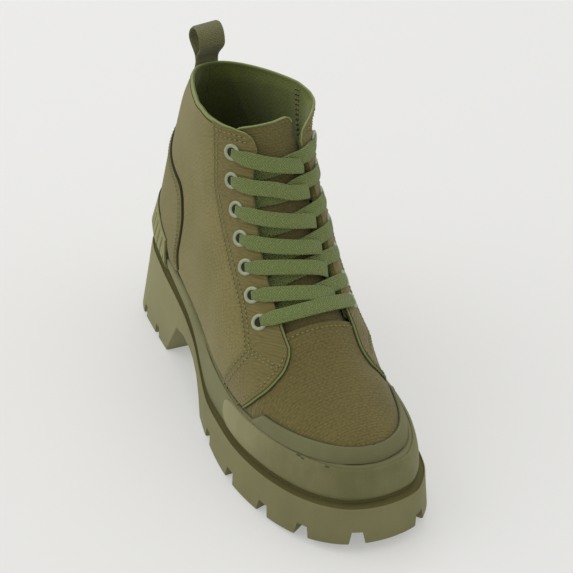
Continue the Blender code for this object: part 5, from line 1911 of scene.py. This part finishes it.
@dataclass
class EyeletSet:
    """Painted metal rings, seven on each side."""

    last: LastForm
    count: int = 7
    over: tuple = (26.2, 29.3, 29.4, 30.7)      # distances from the ridge, top to bottom
    rows: tuple = (13.45, 10.8, 8.6, 5.8)       # and section numbers
    inner_rise: float = 0.12    # the lowest one on the inner side sits higher
    ring: float = 3.65
    wire: float = 1.1
    flat: float = 0.75
    lift: float = 1.6
    bore: tuple = ((3.2, 1.8), (2.7, 1.65), (2.1, 1.55))   # radius and lift of the cup of painted shade in the hole

    def spots(self) -> list[tuple[float, float]]:
        """Give section numbers and distances from the ridge, top to bottom, evenly spaced.

        Returns:
            One pair for each ring of a side.
        """
        row = np.linspace(self.rows[0], self.rows[-1], 200)
        over = np.interp(row, self.rows[::-1], self.over[::-1])
        run = run_length(self.last.bare(row, -over))
        even = np.linspace(0, run[-1], self.count)
        return list(zip(np.interp(even, run, row), np.interp(even, run, over)))

    def tree(self) -> Tree:
        """Build the nodes that set a flattened ring on each point, facing along an attribute.

        Returns:
            The tree.
        """
        tree, given = start_tree("eyelet_rings", ("Ring Radius", "Wire Radius", "Flatten"), "Paint")
        circle = add_node(tree, "GeometryNodeCurvePrimitiveCircle", {"Resolution": 40,
                                                                     "Radius": given["Ring Radius"]})
        wire = add_node(tree, "GeometryNodeCurvePrimitiveCircle", {"Resolution": 14,
                                                                   "Radius": given["Wire Radius"]})
        torus = add_node(tree, "GeometryNodeCurveToMesh", {"Curve": circle.outputs[0],
                                                           "Profile Curve": wire.outputs[0]})
        squeeze = add_node(tree, "ShaderNodeCombineXYZ", {0: 1.0, 1: 1.0, 2: given["Flatten"]})
        flat = add_node(tree, "GeometryNodeTransform", {"Geometry": torus.outputs[0],
                                                        "Scale": squeeze.outputs[0]})
        facing = facing_node(tree)
        turned = add_node(tree, "FunctionNodeAlignRotationToVector", {"Vector": facing},
                          axis="Z")
        points = add_node(tree, "GeometryNodeMeshToPoints", {"Mesh": given["Geometry"]})
        placed = add_node(tree, "GeometryNodeInstanceOnPoints",
                          {"Points": points.outputs[0], "Instance": flat.outputs[0],
                           "Rotation": turned.outputs[0]})
        finish_tree(tree, placed.outputs[0], given["Paint"])
        return tree

    def build(self) -> None:
        """Make all the rings in one mesh, and the painted shade in their holes in another."""
        row, over = np.array(self.spots()).T
        row, over = np.concatenate([row, row]), np.concatenate([-over, over])
        row[-1] += self.inner_rise
        facing = self.last.normal(row, over)
        seats = points_object("eyelet_rings", self.last.lifted(row, over, self.lift), [], {"facing": facing})
        grown = grow_nodes(seats, self.tree(), {"Ring Radius": self.ring * MM, "Wire Radius": self.wire * MM,
                                                "Flatten": self.flat, "Paint": EYELET_PAINT.material()})
        names = [f"eyelet_{tag}{n}" for tag in "lr" for n in range(1, self.count + 1)]
        Piece("eyelet_rings", EYELET_PAINT).settle(grown, *names)
        # painted shade: a dark cup in each ring's hole
        bore_shades = Piece("eyelet_bore_shade", EDGE_DARK)
        angle = np.linspace(0, 2 * math.pi, 24, endpoint=False)
        for r, o, n in zip(row, over, facing):
            along = unit(np.cross(n, [1.0, 0.0, 0.0]))
            across = np.cross(along, n)
            centre = self.last.lifted(r, o, 0.0)
            disc = np.cos(angle)[:, None] * along + np.sin(angle)[:, None] * across
            bore_shades.add_rings([centre + n * lift + radius * disc for radius, lift in self.bore])
        bore_shades.place()


def start_tree(name: str, numbers: Sequence[str], paint: str) -> tuple[Tree, object]:
    """Begin a geometry tree.

    Args:
        name: name of the tree.
        numbers: names of its number inputs.
        paint: name of its material input.

    Returns:
        The tree and its inputs' sockets.
    """
    tree = bpy.data.node_groups.new(name, "GeometryNodeTree")
    kinds = {"Geometry": "Geometry", **{number: "Float" for number in numbers}, paint: "Material"}
    for label, kind in kinds.items():
        tree.interface.new_socket(label, in_out="INPUT", socket_type=f"NodeSocket{kind}")
    tree.interface.new_socket("Geometry", in_out="OUTPUT", socket_type="NodeSocketGeometry")
    return tree, add_node(tree, "NodeGroupInput").outputs


def facing_node(tree: Tree) -> Socket:
    """Read the direction that a point faces."""
    return add_node(tree, "GeometryNodeInputNamedAttribute", {"Name": "facing"},
                    data_type="FLOAT_VECTOR").outputs[0]


def finish_tree(tree: Tree, geometry: Socket, paint: Socket) -> None:
    """End a geometry tree: real meshes, smooth, with a material.

    Args:
        tree: tree that gets the nodes.
        geometry: socket of the instances.
        paint: socket of the material.
    """
    real = add_node(tree, "GeometryNodeRealizeInstances", {0: geometry})
    smooth = add_node(tree, "GeometryNodeSetShadeSmooth", {0: real.outputs[0]})
    dressed = add_node(tree, "GeometryNodeSetMaterial", {"Geometry": smooth.outputs[0], "Material": paint})
    add_node(tree, "NodeGroupOutput", {0: dressed.outputs[0]})


def points_object(name: str, points: Array, edges: Sequence[Sequence[int]],
                  attributes: dict[str, Array]) -> Made:
    """Make an object of points and edges with vector attributes for a geometry tree.

    Args:
        name: name of the object.
        points: points in millimetres.
        edges: pairs of point numbers.
        attributes: vectors for each point, by name.

    Returns:
        The object.
    """
    mesh = bpy.data.meshes.new(name)
    mesh.from_pydata((np.asarray(points) * MM).tolist(), [list(map(int, e)) for e in edges], [])
    for key, values in attributes.items():
        layer = mesh.attributes.new(key, "FLOAT_VECTOR", "POINT")
        layer.data.foreach_set("vector", np.asarray(values, np.float32).ravel())
    made = bpy.data.objects.new(name, mesh)
    bpy.context.collection.objects.link(made)
    return made


def grow_nodes(made: Made, tree: Tree, inputs: dict) -> Made:
    """Run a geometry tree on an object and keep the result as plain mesh.

    Args:
        made: object that carries the points.
        tree: geometry tree.
        inputs: values by input name.

    Returns:
        The object with its new mesh.
    """
    modifier = made.modifiers.new("grow", "NODES")
    modifier.node_group = tree
    for item in tree.interface.items_tree:
        if item.in_out == "INPUT" and item.name in inputs:
            modifier[item.identifier] = inputs[item.name]
    return bake(made)


@dataclass
class StitchWork:
    """Rows of stitches along seams."""

    last: LastForm
    upper: CanvasUpper
    long: float = 1.8
    step: float = 2.7
    thick: float = 0.45
    hole: float = 1.0           # width of the needle holes' dark spots of painted shade
    raised: float = 0.1         # height of a stitch's middle over the cloth
    sunk: float = 0.25          # and depth of a hole's middle in it
    # distances of each pair of rows from the edge that it follows, over the form or in section numbers
    rear_insets: tuple = (1.3, 4.1)
    branch_drops: tuple = (0.07, 0.2)
    collar_drops: tuple = (0.42, 0.78)
    counter_insets: tuple = (2.4, 5.0)
    front_inset: float = 0.15
    vamp_row: float = 5.17
    vamp_half: float = 19.5
    lining_over: tuple = (57.0, 60.0)   # of the two rows inside the collar
    # where the rows begin and end, as section numbers, shares of the way down or distances over the form
    rear_end: float = 15.3
    branch_span: tuple = (0.4, 0.97)
    front_span: tuple = (0.08, 0.96)
    collar_span: tuple = (18.5, 36.0)
    counter_span: tuple = (8.1, 14.7)
    lining_span: tuple = (13.4, 15.8)
    lining_off: float = 0.2
    # the short rows from the eyestay's rear edge forward: start, run over the form, run in section numbers
    hook: tuple = (43.0, 10.5, 0.72)

    def lines(self) -> list[tuple[Array, Array, float]]:
        """Give each row of stitches as section numbers, distances over the form and its lift.

        Returns:
            One entry for each row.
        """
        upper, last = self.upper, self.last
        low, high = upper.proud, upper.proud + upper.facing_proud
        rows = []
        for side in SIDES:
            way = side.value
            for inset in self.rear_insets:
                row = np.linspace(upper.branch_row, self.rear_end, 120)
                rows.append((row, way * (upper.rear_over(row) - inset), high))
            for drop in self.branch_drops:
                share = np.linspace(*self.branch_span, 34)
                row = upper.branch_at(share) - drop
                rows.append((row, upper.side_over(row, share, side), high))
                t = np.linspace(0, 1, 24)
                start, run, fore = self.hook
                over = start - run * t - 20 * (drop - self.branch_drops[0])
                rows.append((upper.branch_row - fore * t - drop * 0.3, way * over, high))
            share = np.linspace(*self.front_span, 60)
            row = upper.front_row(share, side) + self.front_inset
            rows.append((row, upper.side_over(row, share, side), high))
            for drop in self.collar_drops:
                over = np.linspace(*self.collar_span, 24)
                rows.append((last.collar_row(over) - drop, way * over, high))
            for inset in self.counter_insets:
                row = np.linspace(*self.counter_span, 120)
                rows.append((row, way * (upper.counter_over(row) + inset), low + upper.counter_proud))
        over = np.linspace(-self.vamp_half, self.vamp_half, 40)
        rows.append((np.full_like(over, self.vamp_row), over, 0.0))
        for inside in self.lining_over:
            row = np.linspace(*self.lining_span, 30)
            rows.append((row, np.full_like(row, inside), -upper.wall - self.lining_off))
        return rows

    def tree(self) -> Tree:
        """Build the nodes that lay a stitch at every step of each line.

        Returns:
            The tree.
        """
        tree, given = start_tree("stitch_rows", ("Step", "Length", "Thickness"), "Thread")
        curve = add_node(tree, "GeometryNodeMeshToCurve", {"Mesh": given["Geometry"]})
        spread = add_node(tree, "GeometryNodeResampleCurve", {"Curve": curve.outputs[0],
                                                              "Length": given["Step"]}, mode="LENGTH")
        tangent = add_node(tree, "GeometryNodeInputTangent")
        turned = add_node(tree, "FunctionNodeAxesToRotation", {0: tangent.outputs[0], 1: facing_node(tree)},
                          primary_axis="X", secondary_axis="Z")
        ball = add_node(tree, "GeometryNodeMeshUVSphere", {"Segments": 8, "Rings": 5, "Radius": 0.5})
        size = add_node(tree, "ShaderNodeCombineXYZ", {0: given["Length"], 1: given["Thickness"],
                                                       2: given["Thickness"]})
        placed = add_node(tree, "GeometryNodeInstanceOnPoints",
                          {"Points": spread.outputs[0], "Instance": ball.outputs[0],
                           "Rotation": turned.outputs[0], "Scale": size.outputs[0]})
        finish_tree(tree, placed.outputs[0], given["Thread"])
        return tree

    def build(self) -> None:
        """Lay all the stitches in one mesh, and the painted shade of the needle holes between them in
        another.
        """
        self.lay("stitches", THREAD, 0.0, (self.long, 2 * self.thick), self.raised)
        # painted shade: dark spots sunk into the cloth at the needle holes
        self.lay("needle_hole_shade", EDGE_SHADE_AND_SCUFF, 0.5 * self.step, (self.hole, self.hole), -self.sunk)

    def lay(self, name: str, finish: Finish, offset: float, size: tuple[float, float],
            raised: float) -> None:
        """Lay one shape at every step of all the lines.

        Args:
            name: name of the piece.
            finish: its finish.
            offset: distance of the first one from each line's start.
            size: length and thickness of the shape.
            raised: height of its middle over the cloth.
        """
        points, facing, edges, count = [], [], [], 0
        for row, over, lift in self.lines():
            line = self.last.lifted(row, over, lift + raised)
            line = np.concatenate([line, self.last.normal(row, over)], axis=1)
            run = run_length(line[:, :3])
            kept = np.linspace(offset, run[-1], len(row))
            line = np.stack([np.interp(kept, run, line[:, k]) for k in range(6)], -1)
            points.append(line[:, :3])
            facing.append(line[:, 3:])
            edges += [(count + k, count + k + 1) for k in range(len(row) - 1)]
            count += len(row)
        rows = points_object(name, np.concatenate(points), edges, {"facing": np.concatenate(facing)})
        grown = grow_nodes(rows, self.tree(), {"Step": self.step * MM, "Length": size[0] * MM,
                                               "Thickness": size[1] * MM, "Thread": finish.material()})
        Piece(name, finish).settle(grown)


@dataclass
class LaceRun:
    """Flat braid through the eyelets: a bar at the bottom and crossings above it."""

    last: LastForm
    eyelets: EyeletSet
    wide: float = 8.2
    thick: float = 1.5
    on_top: float = 2.75        # lift of its middle over the facing
    beneath: float = -3.7       # and under the opposite eyestay
    bar_hang: float = 0.24      # section numbers by which the bar's middle hangs
    bar_end: float = 1.035      # the bar's ends go this far past the holes' middles
    bar_dip: float = 3.2        # and dip by this much into them
    bows: tuple = (5.6, 5.4, 6.4, 6.2, 3.2, 3.4)    # hang of each pair of crossings, from the top
    # share of the way and lift where a strip comes out of its hole
    mouth: tuple = ((-0.019, -0.4), (-0.009, 1.3), (0.01, 2.2))
    mouth_end: float = 0.045
    under_edge: float = 0.035   # a strip is beneath the eyestay this share before its edge
    way_end: float = 0.96
    narrow: float = 0.56        # share of the width that goes through a hole
    widen: float = 9.0          # distance from the hole where the strip is flat again
    rounding: tuple = (0.45, 0.7)   # how square the strip's section is across and upwards
    # shares of the open throat and lifts of the strip that lies over, and of the one under it
    over_lifts: tuple = ((0.25, 2.8), (0.5, 2.5), (0.75, 1.8), (0.92, -0.2))
    under_lifts: tuple = ((0.12, 0.9), (0.28, -0.9), (0.5, -1.6), (0.75, -2.4))

    def ribbon(self, piece: Piece, row: Array, over: Array, lift: Array, wide: Array) -> None:
        """Add a rounded flat strip along places over the last.

        Args:
            piece: piece that gets it.
            row: section numbers.
            over: distances over the form.
            lift: heights off the form.
            wide: width at each place.
        """
        ground, path = self.last.lifted(row, over, 0.0), self.last.lifted(row, over, lift)
        angle = np.linspace(0, 2 * math.pi, 20, endpoint=False)
        bend = 0.5 * self.wide * np.abs(np.cos(angle)) ** self.rounding[0] * np.sign(np.cos(angle))
        high = 0.5 * self.thick * np.abs(np.sin(angle)) ** self.rounding[1] * np.sign(np.sin(angle))
        rings = sweep(path, self.last.normal(row, over), np.stack([high, bend], -1), ground,
                      wide / self.wide)
        weave = np.stack(np.broadcast_arrays(bend + 0.5 * self.wide, run_length(path)[:, None]), -1)
        piece.add_rings(rings, weave)

    def width_near(self, reach: Array) -> Array:
        """Give the strip's width at a distance from the hole it comes out of."""
        return self.wide * (self.narrow + (1 - self.narrow) * ease(reach / self.widen))

    def crossing(self, piece: Piece, start: tuple, end: tuple, bow: float) -> None:
        """Add a strip from out of one eyelet's hole to beneath the opposite eyestay.

        Args:
            piece: piece that gets it.
            start: section number and distance over the form of the eyelet it comes out of.
            end: the same of the eyelet it goes to.
            bow: how far it hangs towards the toe at its middle.
        """
        (row_a, over_a), (row_b, over_b) = start, end
        lateral = over_a < 0
        leaves = 0.5 - 0.5 * float(self.last.throat_half(row_a)) / abs(over_a)
        enters = 0.5 + 0.5 * float(self.last.throat_half(row_b)) / abs(over_b) - self.under_edge
        middle = self.over_lifts if lateral else self.under_lifts
        steps = [*self.mouth, (self.mouth_end, self.on_top), (0.5 * leaves, self.on_top),
                 (leaves, self.on_top - 0.15)]
        steps += [(leaves + (enters - leaves) * part, lift) for part, lift in middle]
        steps += [(enters, self.beneath), (self.way_end, self.beneath)]
        places = np.array([s[0] for s in steps])
        t = np.linspace(places[0], places[-1], 80)
        lift = on_curve(steps, t)
        row, over = row_a + (row_b - row_a) * t, over_a + (over_b - over_a) * t
        ahead = self.last.bare(row + 0.1, over) - self.last.bare(row - 0.1, over)
        per_row = np.linalg.norm(ahead, axis=1) / 0.2
        row = row - bow * np.sin(math.pi * np.clip(t, 0, 1) ** 0.85) / per_row
        self.ribbon(piece, row, over, lift, self.width_near((t - places[0]) * abs(over_b - over_a)))

    def build(self) -> None:
        """Make the bar and the six crossings."""
        spots = self.eyelets.spots()
        piece = Piece("lace_braid_run", LACE_BRAID)
        row, over = spots[-1]
        t = np.linspace(-self.bar_end, self.bar_end, 90)
        lift = self.on_top - self.bar_dip * ease((np.abs(t) - self.bar_end) / 0.09 + 1)
        row = row + 0.5 * self.eyelets.inner_rise * (t + 1) - self.bar_hang * (1 - np.minimum(t ** 2, 1))
        self.ribbon(piece, row, over * t, lift, self.width_near((self.bar_end - np.abs(t)) * over))
        for bow, (row_a, over_a), (row_b, over_b) in zip(self.bows, spots[:-1], spots[1:]):
            self.crossing(piece, (row_a, -over_a), (row_b, over_b), bow)
            self.crossing(piece, (row_a, over_a), (row_b, -over_b), bow)
        names = ["lace_bar"] + [f"lace_cross_{n}" for n in range(1, self.eyelets.count)]
        piece.place(*names)


@dataclass
class PullLoop:
    """Folded webbing sewn outside the back seam, with an open loop above the collar."""

    sole: SoleForm
    last: LastForm
    wide: float = 15.6
    thick: float = 1.6
    high: float = 23.4
    bulge: float = 8.0          # radius of the loop's eye
    tilt: float = 0.15          # rise of the loop towards the inner side
    tail: float = 20.0
    off_seam: float = 1.2
    lean: float = 0.06
    bend: float = 52.0          # radius by which the tails follow the heel
    flat: float = 16.0          # height over the collar where the webbing is flat
    shift: float = -1.5
    eye_low: float = 3.0        # the loop opens this far above the collar
    seam_row: float = 14.2
    waist: float = 0.86         # the sewn part's share of the width
    edge_round: float = 0.7
    edge_share: float = 0.25

    def centre_line(self) -> tuple[Array, float]:
        """Give the middle line (s, z) of the webbing from one tail end round the loop, and the collar's z.

        Returns:
            Points of the line, and the height.
        """
        rows = np.linspace(self.seam_row, self.last.top_row, 40)
        seam = self.last.section_at(rows)[:, 2:4]
        collar = float(seam[-1, 1])
        eye = collar + self.eye_low
        z = np.linspace(collar - self.tail, eye, 24)
        s = np.interp(z, seam[:, 1], seam[:, 0]) - self.off_seam - 0.5 * self.thick
        waist = float(np.interp(collar, z, s)) - 0.5 * self.thick
        crown = collar + self.high - self.bulge - self.thick
        radius = self.bulge + 0.5 * self.thick
        swing = np.linspace(0, math.pi, 30)
        ring = np.stack([radius * np.cos(swing), crown + radius * np.sin(swing)], -1)
        rise = np.linspace(eye, crown, 20)[1:-1]
        grown = ease((rise - eye) / (crown - eye))
        open_by = 0.5 * self.thick + (radius - 0.5 * self.thick) * grown
        front = np.stack([open_by, rise], -1)
        loop = np.concatenate([front, ring, front[::-1] * [-1, 1]])
        loop[:, 0] += waist + self.lean * (loop[:, 1] - collar)
        inner_leg = np.stack([s, z], -1)
        outer_leg = np.stack([s - self.thick, z], -1)
        return resample(np.concatenate([inner_leg, loop, outer_leg[::-1]]), 150), collar

    def build(self) -> None:
        """Make the webbing as one folded strip."""
        line, collar = self.centre_line()
        along = unit(np.gradient(line, axis=0))
        normal = np.stack([along[:, 1], -along[:, 0]], -1)
        across = np.linspace(-0.5, 0.5, 15) * self.wide
        run = run_length(line)
        grids = []
        for way in (0.5, -0.5):
            edge = np.clip((0.5 * self.wide - np.abs(across)) / self.edge_round, self.edge_share, 1)
            s = line[:, :1] + way * self.thick * normal[:, :1] * edge
            z = line[:, 1:] + way * self.thick * normal[:, 1:] * edge
            bent = np.clip(1 - (z - collar) / self.flat, 0, 1) * across ** 2 / self.bend
            z = z + self.tilt * across * np.clip((z - collar) / self.high, 0, 1)
            x = across * (self.waist + (1 - self.waist) * ease((z - collar) / self.flat)) + self.shift
            grids.append(self.sole.place(x, s + bent, z))
        weave = np.stack(np.broadcast_arrays(across[None, :] + 0.5 * self.wide, run[:, None]), -1)
        piece = Piece("pull_loop_webbing", LOOP_WEBBING)
        piece.add_shell(grids[0], grids[1], weave)
        piece.place("pull_loop")


@dataclass
class Footbed:
    """Insole with a slightly cupped cloth top."""

    sole: SoleForm
    last: LastForm
    wall: float = 2.4
    gap: float = 0.6
    thick: float = 4.0
    tuck: float = 2.0           # it ends this far inside the upper
    cup: float = 0.9            # its edges rise by this much
    off_floor: float = 0.3
    count: int = 120

    def build(self) -> None:
        """Make the bed on the midsole's floor."""
        lines = [resample(self.last.rim_line(side, (40, 160)), self.count) for side in SIDES]
        ring = np.concatenate([lines[0], lines[1][-2:0:-1]])
        along = np.roll(ring, -1, axis=0) - np.roll(ring, 1, axis=0)
        out = unit(np.stack([along[:, 1], -along[:, 0], np.zeros(len(ring))], -1))
        out *= np.sign(np.sum(out * (ring - ring.mean(axis=0))))
        edge = ring - out * (self.tuck + self.wall + self.gap)
        feet = [row[2:4] for row in self.last.sections[:12]][::-1]
        edge[:, 2] = on_lines(feet, self.sole.length / 2 - edge[:, 1]) + self.off_floor
        half = self.count
        rails = edge[:half], np.concatenate([edge[:1], edge[:half - 1:-1], edge[half - 1:half]])
        t = np.linspace(0, 1, 25)[None, :, None]
        low = (rails[0][:, None] * (1 - t) + rails[1][:, None] * t)[1:-1]
        cup = self.cup * (2 * t[..., 0] - 1) ** 4
        high = low + np.stack([np.zeros_like(cup)] * 2 + [self.thick - self.cup + cup], -1)
        piece = Piece("footbed", LINING)
        piece.add_shell(high, low, high[..., :2])
        piece.place("insole")


def look(place: Array, right: Array, up: Array, back: Array) -> Matrix:
    """Give the matrix of a camera or lamp from its place and axes."""
    axes = np.stack([right, up, back], 1)
    return Matrix([[*row, at] for row, at in zip(axes, place)] + [[0, 0, 0, 1]])


@dataclass
class Studio:
    """Pale floor, soft light and the photograph's camera."""

    azimuth: float = -25.3
    elevation: float = 32.28
    roll: float = 2.48
    distance: float = 800.0
    focal: float = 1369.34      # in pixels of the 573 pixel frame
    frame: float = 573.0
    sensor: float = 36.0
    target: tuple = (19.02, 19.49, 60.0)
    floor_colour: str = "#b7b6b4"
    floor_glow: float = 0.33        # back-lit paper: it keeps the shade under the boot light
    floor_half: float = 6.0         # metres
    sky_colour: str = "#f4f4f2"
    sky_strength: float = 0.84
    # name, place in metres, size and power
    lamps: tuple = (("key_lamp", (-1.5, 0.7, 1.3), 1.8, 11.0), ("fill_lamp", (0.9, -0.7, 1.8), 1.4, 2.0),
                    ("back_lamp", (0.5, 1.3, 1.6), 1.2, 5.0))
    lamp_target: tuple = (0, 0, 0.08)

    def build_camera(self) -> None:
        """Place the camera."""
        a, e, r = (math.radians(v) for v in (self.azimuth, self.elevation, self.roll))
        back = np.array([math.sin(a) * math.cos(e), -math.cos(a) * math.cos(e), math.sin(e)])
        right = unit(np.cross(-back, [0, 0, 1]))
        up = np.cross(right, -back)
        right, up = right * math.cos(r) + up * math.sin(r), up * math.cos(r) - right * math.sin(r)
        eye = (np.array(self.target) + back * self.distance) * MM
        lens = bpy.data.cameras.new("photo_camera")
        lens.sensor_width = self.sensor
        lens.lens = self.focal * self.sensor / self.frame
        lens.clip_start = 0.01
        camera = bpy.data.objects.new("photo_camera", lens)
        camera.matrix_world = look(eye, right, up, back)
        bpy.context.collection.objects.link(camera)
        bpy.context.scene.camera = camera

    def build_floor(self) -> None:
        """Lay a wide pale floor."""
        mesh = bpy.data.meshes.new("studio_floor")
        half = self.floor_half
        mesh.from_pydata([(-half, -half, 0), (half, -half, 0), (half, half, 0), (-half, half, 0)], [],
                         [(0, 1, 2, 3)])
        floor = bpy.data.objects.new("studio_floor", mesh)
        paint = Plain("floor_paper", self.floor_colour, self.floor_colour, 0.9, "canvas", size=4.0,
                      relief=0.0)
        paper = paint.material()
        shader = next(n for n in paper.node_tree.nodes if n.type == "BSDF_PRINCIPLED")
        shader.inputs["Emission Color"].default_value = srgb("#ffffff")
        shader.inputs["Emission Strength"].default_value = self.floor_glow
        mesh.materials.append(paper)
        bpy.context.collection.objects.link(floor)

    def build_lights(self) -> None:
        """Set a pale world and large soft lamps."""
        scene = bpy.context.scene
        scene.view_settings.view_transform = "Standard"
        world = bpy.data.worlds.new("studio_world")
        world.use_nodes = True
        sky = world.node_tree.nodes["Background"]
        sky.inputs["Color"].default_value = srgb(self.sky_colour)
        sky.inputs["Strength"].default_value = self.sky_strength
        scene.world = world
        for name, place, size, power in self.lamps:
            light = bpy.data.lights.new(name, "AREA")
            light.size, light.energy = size, power
            lamp = bpy.data.objects.new(name, light)
            back = unit(np.array(place) - self.lamp_target)
            right = unit(np.cross([0, 0, 1], back))
            lamp.matrix_world = look(place, right, np.cross(back, right), back)
            bpy.context.collection.objects.link(lamp)


def main() -> None:
    """Build the studio and every piece."""
    logging.basicConfig(level=logging.INFO, format="%(name)s: %(message)s")
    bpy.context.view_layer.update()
    sole = SoleForm()
    last = LastForm(sole)
    studio = Studio()
    studio.build_camera()
    studio.build_floor()
    studio.build_lights()
    OutsoleTread(sole).build()
    MidsoleCup(sole, last).build()
    ToeCap(sole, last).build()
    HeelTab(sole, last).build()
    upper = CanvasUpper(last)
    upper.build_vamp()
    upper.build_quarters()
    upper.build_counter()
    upper.build_edges()
    TongueFlap(last).build()
    eyelets = EyeletSet(last)
    eyelets.build()
    LaceRun(last, eyelets).build()
    StitchWork(last, upper).build()
    PullLoop(sole, last).build()
    Footbed(sole, last).build()


if __name__ == "__main__":
    main()
